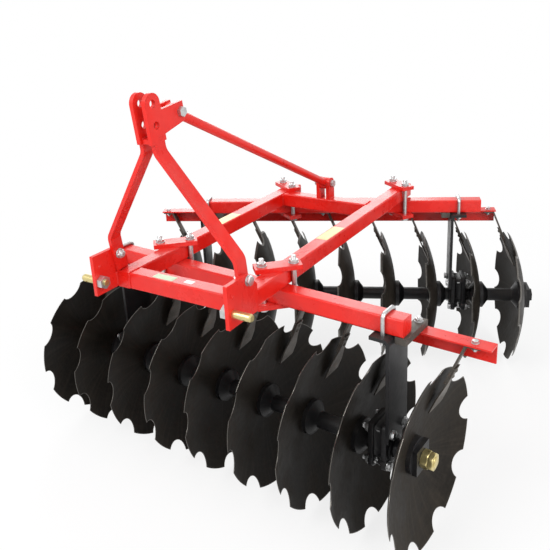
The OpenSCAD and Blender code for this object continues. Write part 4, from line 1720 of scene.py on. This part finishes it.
class Studio:
    """Floor, light and camera."""

    EYE = (1.1335, -2.0154, 1.4637)
    YAW, PITCH, ROLL = math.radians(32.828), math.radians(-18.467), -0.0521
    FOCAL_PX, AXIS_PX, IMAGE_PX = 679.6, (274.7, 216.8), 550.0
    SENSOR_MM, CLIP_END = 36.0, 200.0
    WHITE, FLOOR_GREY = (1.0, 1.0, 1.0), (0.86, 0.86, 0.86)
    FLOOR_HALF, FADE_FROM, FADE_TO, FLOOR_NEAR = 30.0, 1.0, 3.2, 0.80
    SKY_LIGHT = 0.55
    MIDDLE = Vector((0.0, 0.0, 0.5))
    LAMPS = (
        Lamp("key_lamp", (-1.6, -4.2, 4.6), 3.0, 225.0),
        Lamp("fill_lamp", (4.6, -1.8, 3.0), 3.0, 140.0),
        Lamp("back_lamp", (-2.7, 4.1, 2.6), 3.4, 110.0),
    )

    def camera(self) -> None:
        """Camera at the photograph's viewing angle, its axis off the middle of the frame."""
        forward = Vector((-math.sin(self.YAW) * math.cos(self.PITCH),
                          math.cos(self.YAW) * math.cos(self.PITCH), math.sin(self.PITCH)))
        right = Vector((math.cos(self.YAW), math.sin(self.YAW), 0.0))
        up = right.cross(forward)
        c, s = math.cos(self.ROLL), math.sin(self.ROLL)
        turn = Matrix((c * right + s * up, c * up - s * right, -forward)).transposed()
        data = bpy.data.cameras.new("photo_camera")
        data.sensor_width = self.SENSOR_MM
        data.lens = self.SENSOR_MM * self.FOCAL_PX / self.IMAGE_PX
        data.shift_x = (self.IMAGE_PX / 2.0 - self.AXIS_PX[0]) / self.IMAGE_PX
        data.shift_y = (self.AXIS_PX[1] - self.IMAGE_PX / 2.0) / self.IMAGE_PX
        data.clip_end = self.CLIP_END
        eye = bpy.data.objects.new("photo_camera", data)
        eye.matrix_world = Matrix.Translation(self.EYE) @ turn.to_4x4()
        bpy.context.scene.collection.objects.link(eye)
        bpy.context.scene.camera = eye

    def floor(self) -> None:
        """Plain pale floor; the camera sees it as near white and it keeps the shadow."""
        mesh = bpy.data.meshes.new("floor")
        s = self.FLOOR_HALF
        corners = [(-s, -s, 0.0), (s, -s, 0.0), (s, s, 0.0), (-s, s, 0.0)]
        mesh.from_pydata(corners, [], [(0, 1, 2, 3)])
        made = bpy.data.materials.new("Pale floor")
        g = Graph.cleared(made)
        plain, lit = g.node("ShaderNodeBsdfDiffuse"), g.node("ShaderNodeEmission")
        g.feed(plain.inputs["Color"], self.FLOOR_GREY)
        g.feed(lit.inputs["Color"], self.WHITE)
        white = g.ramp(g.vector("LENGTH", g.place()), self.FADE_FROM, self.FADE_TO,
                       self.FLOOR_NEAR, 1.0)
        blend = g.node("ShaderNodeMixShader")
        parts = (g.math("MULTIPLY", g.seen(), white), plain.outputs[0], lit.outputs[0])
        for socket, value in zip(blend.inputs, parts):
            g.feed(socket, value)
        g.feed(g.node("ShaderNodeOutputMaterial").inputs[0], blend.outputs[0])
        mesh.materials.append(made)
        floor = bpy.data.objects.new("floor", mesh)
        bpy.context.scene.collection.objects.link(floor)
        floor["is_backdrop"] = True

    def world(self) -> None:
        """Even pale sky: white to the camera and in reflections, softer as a light."""
        made = bpy.data.worlds.new("Pale sky")
        g = Graph.cleared(made)
        sky = g.node("ShaderNodeBackground")
        g.feed_all(sky, {"Color": self.WHITE,
                         "Strength": g.ramp(g.seen(), 0.0, 1.0, self.SKY_LIGHT, 1.0)})
        g.feed(g.node("ShaderNodeOutputWorld").inputs[0], sky.outputs[0])
        bpy.context.scene.world = made

    def build(self) -> None:
        """Sets up the view settings, the sky, the floor, the lamps and the camera."""
        bpy.context.scene.view_settings.view_transform = "Standard"
        self.world()
        self.floor()
        for lamp in self.LAMPS:
            lamp.build(self.MIDDLE)
        self.camera()


def write_sizes(cad: tuple) -> None:
    """Turns the CAD box and the dressed box into plain lists of numbers, which nothing keeps.

    Args:
        cad: corners of the box of the CAD nodes.
    """
    boxes = {"cad": cad, "visual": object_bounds()}
    {k: [[float(c) for c in corner] for corner in v] for k, v in boxes.items()}


def main() -> None:
    """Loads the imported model, dresses it and sets up the studio."""
    logging.basicConfig(level=logging.INFO, format="%(name)s: %(message)s")
    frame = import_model()
    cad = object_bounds()
    coats = Wardrobe()
    coats.dress_nodes(frame)
    for gang in GANGS:
        DiscGang(gang).build(coats)
        GangMounts(gang).build(coats)
        BeamClamps(gang).build(coats)
    HitchFittings().build(coats)
    FrameWelds().build(coats)
    BlankLabels().build(coats)
    Studio().build()
    write_sizes(cad)


if __name__ == "__main__":
    main()
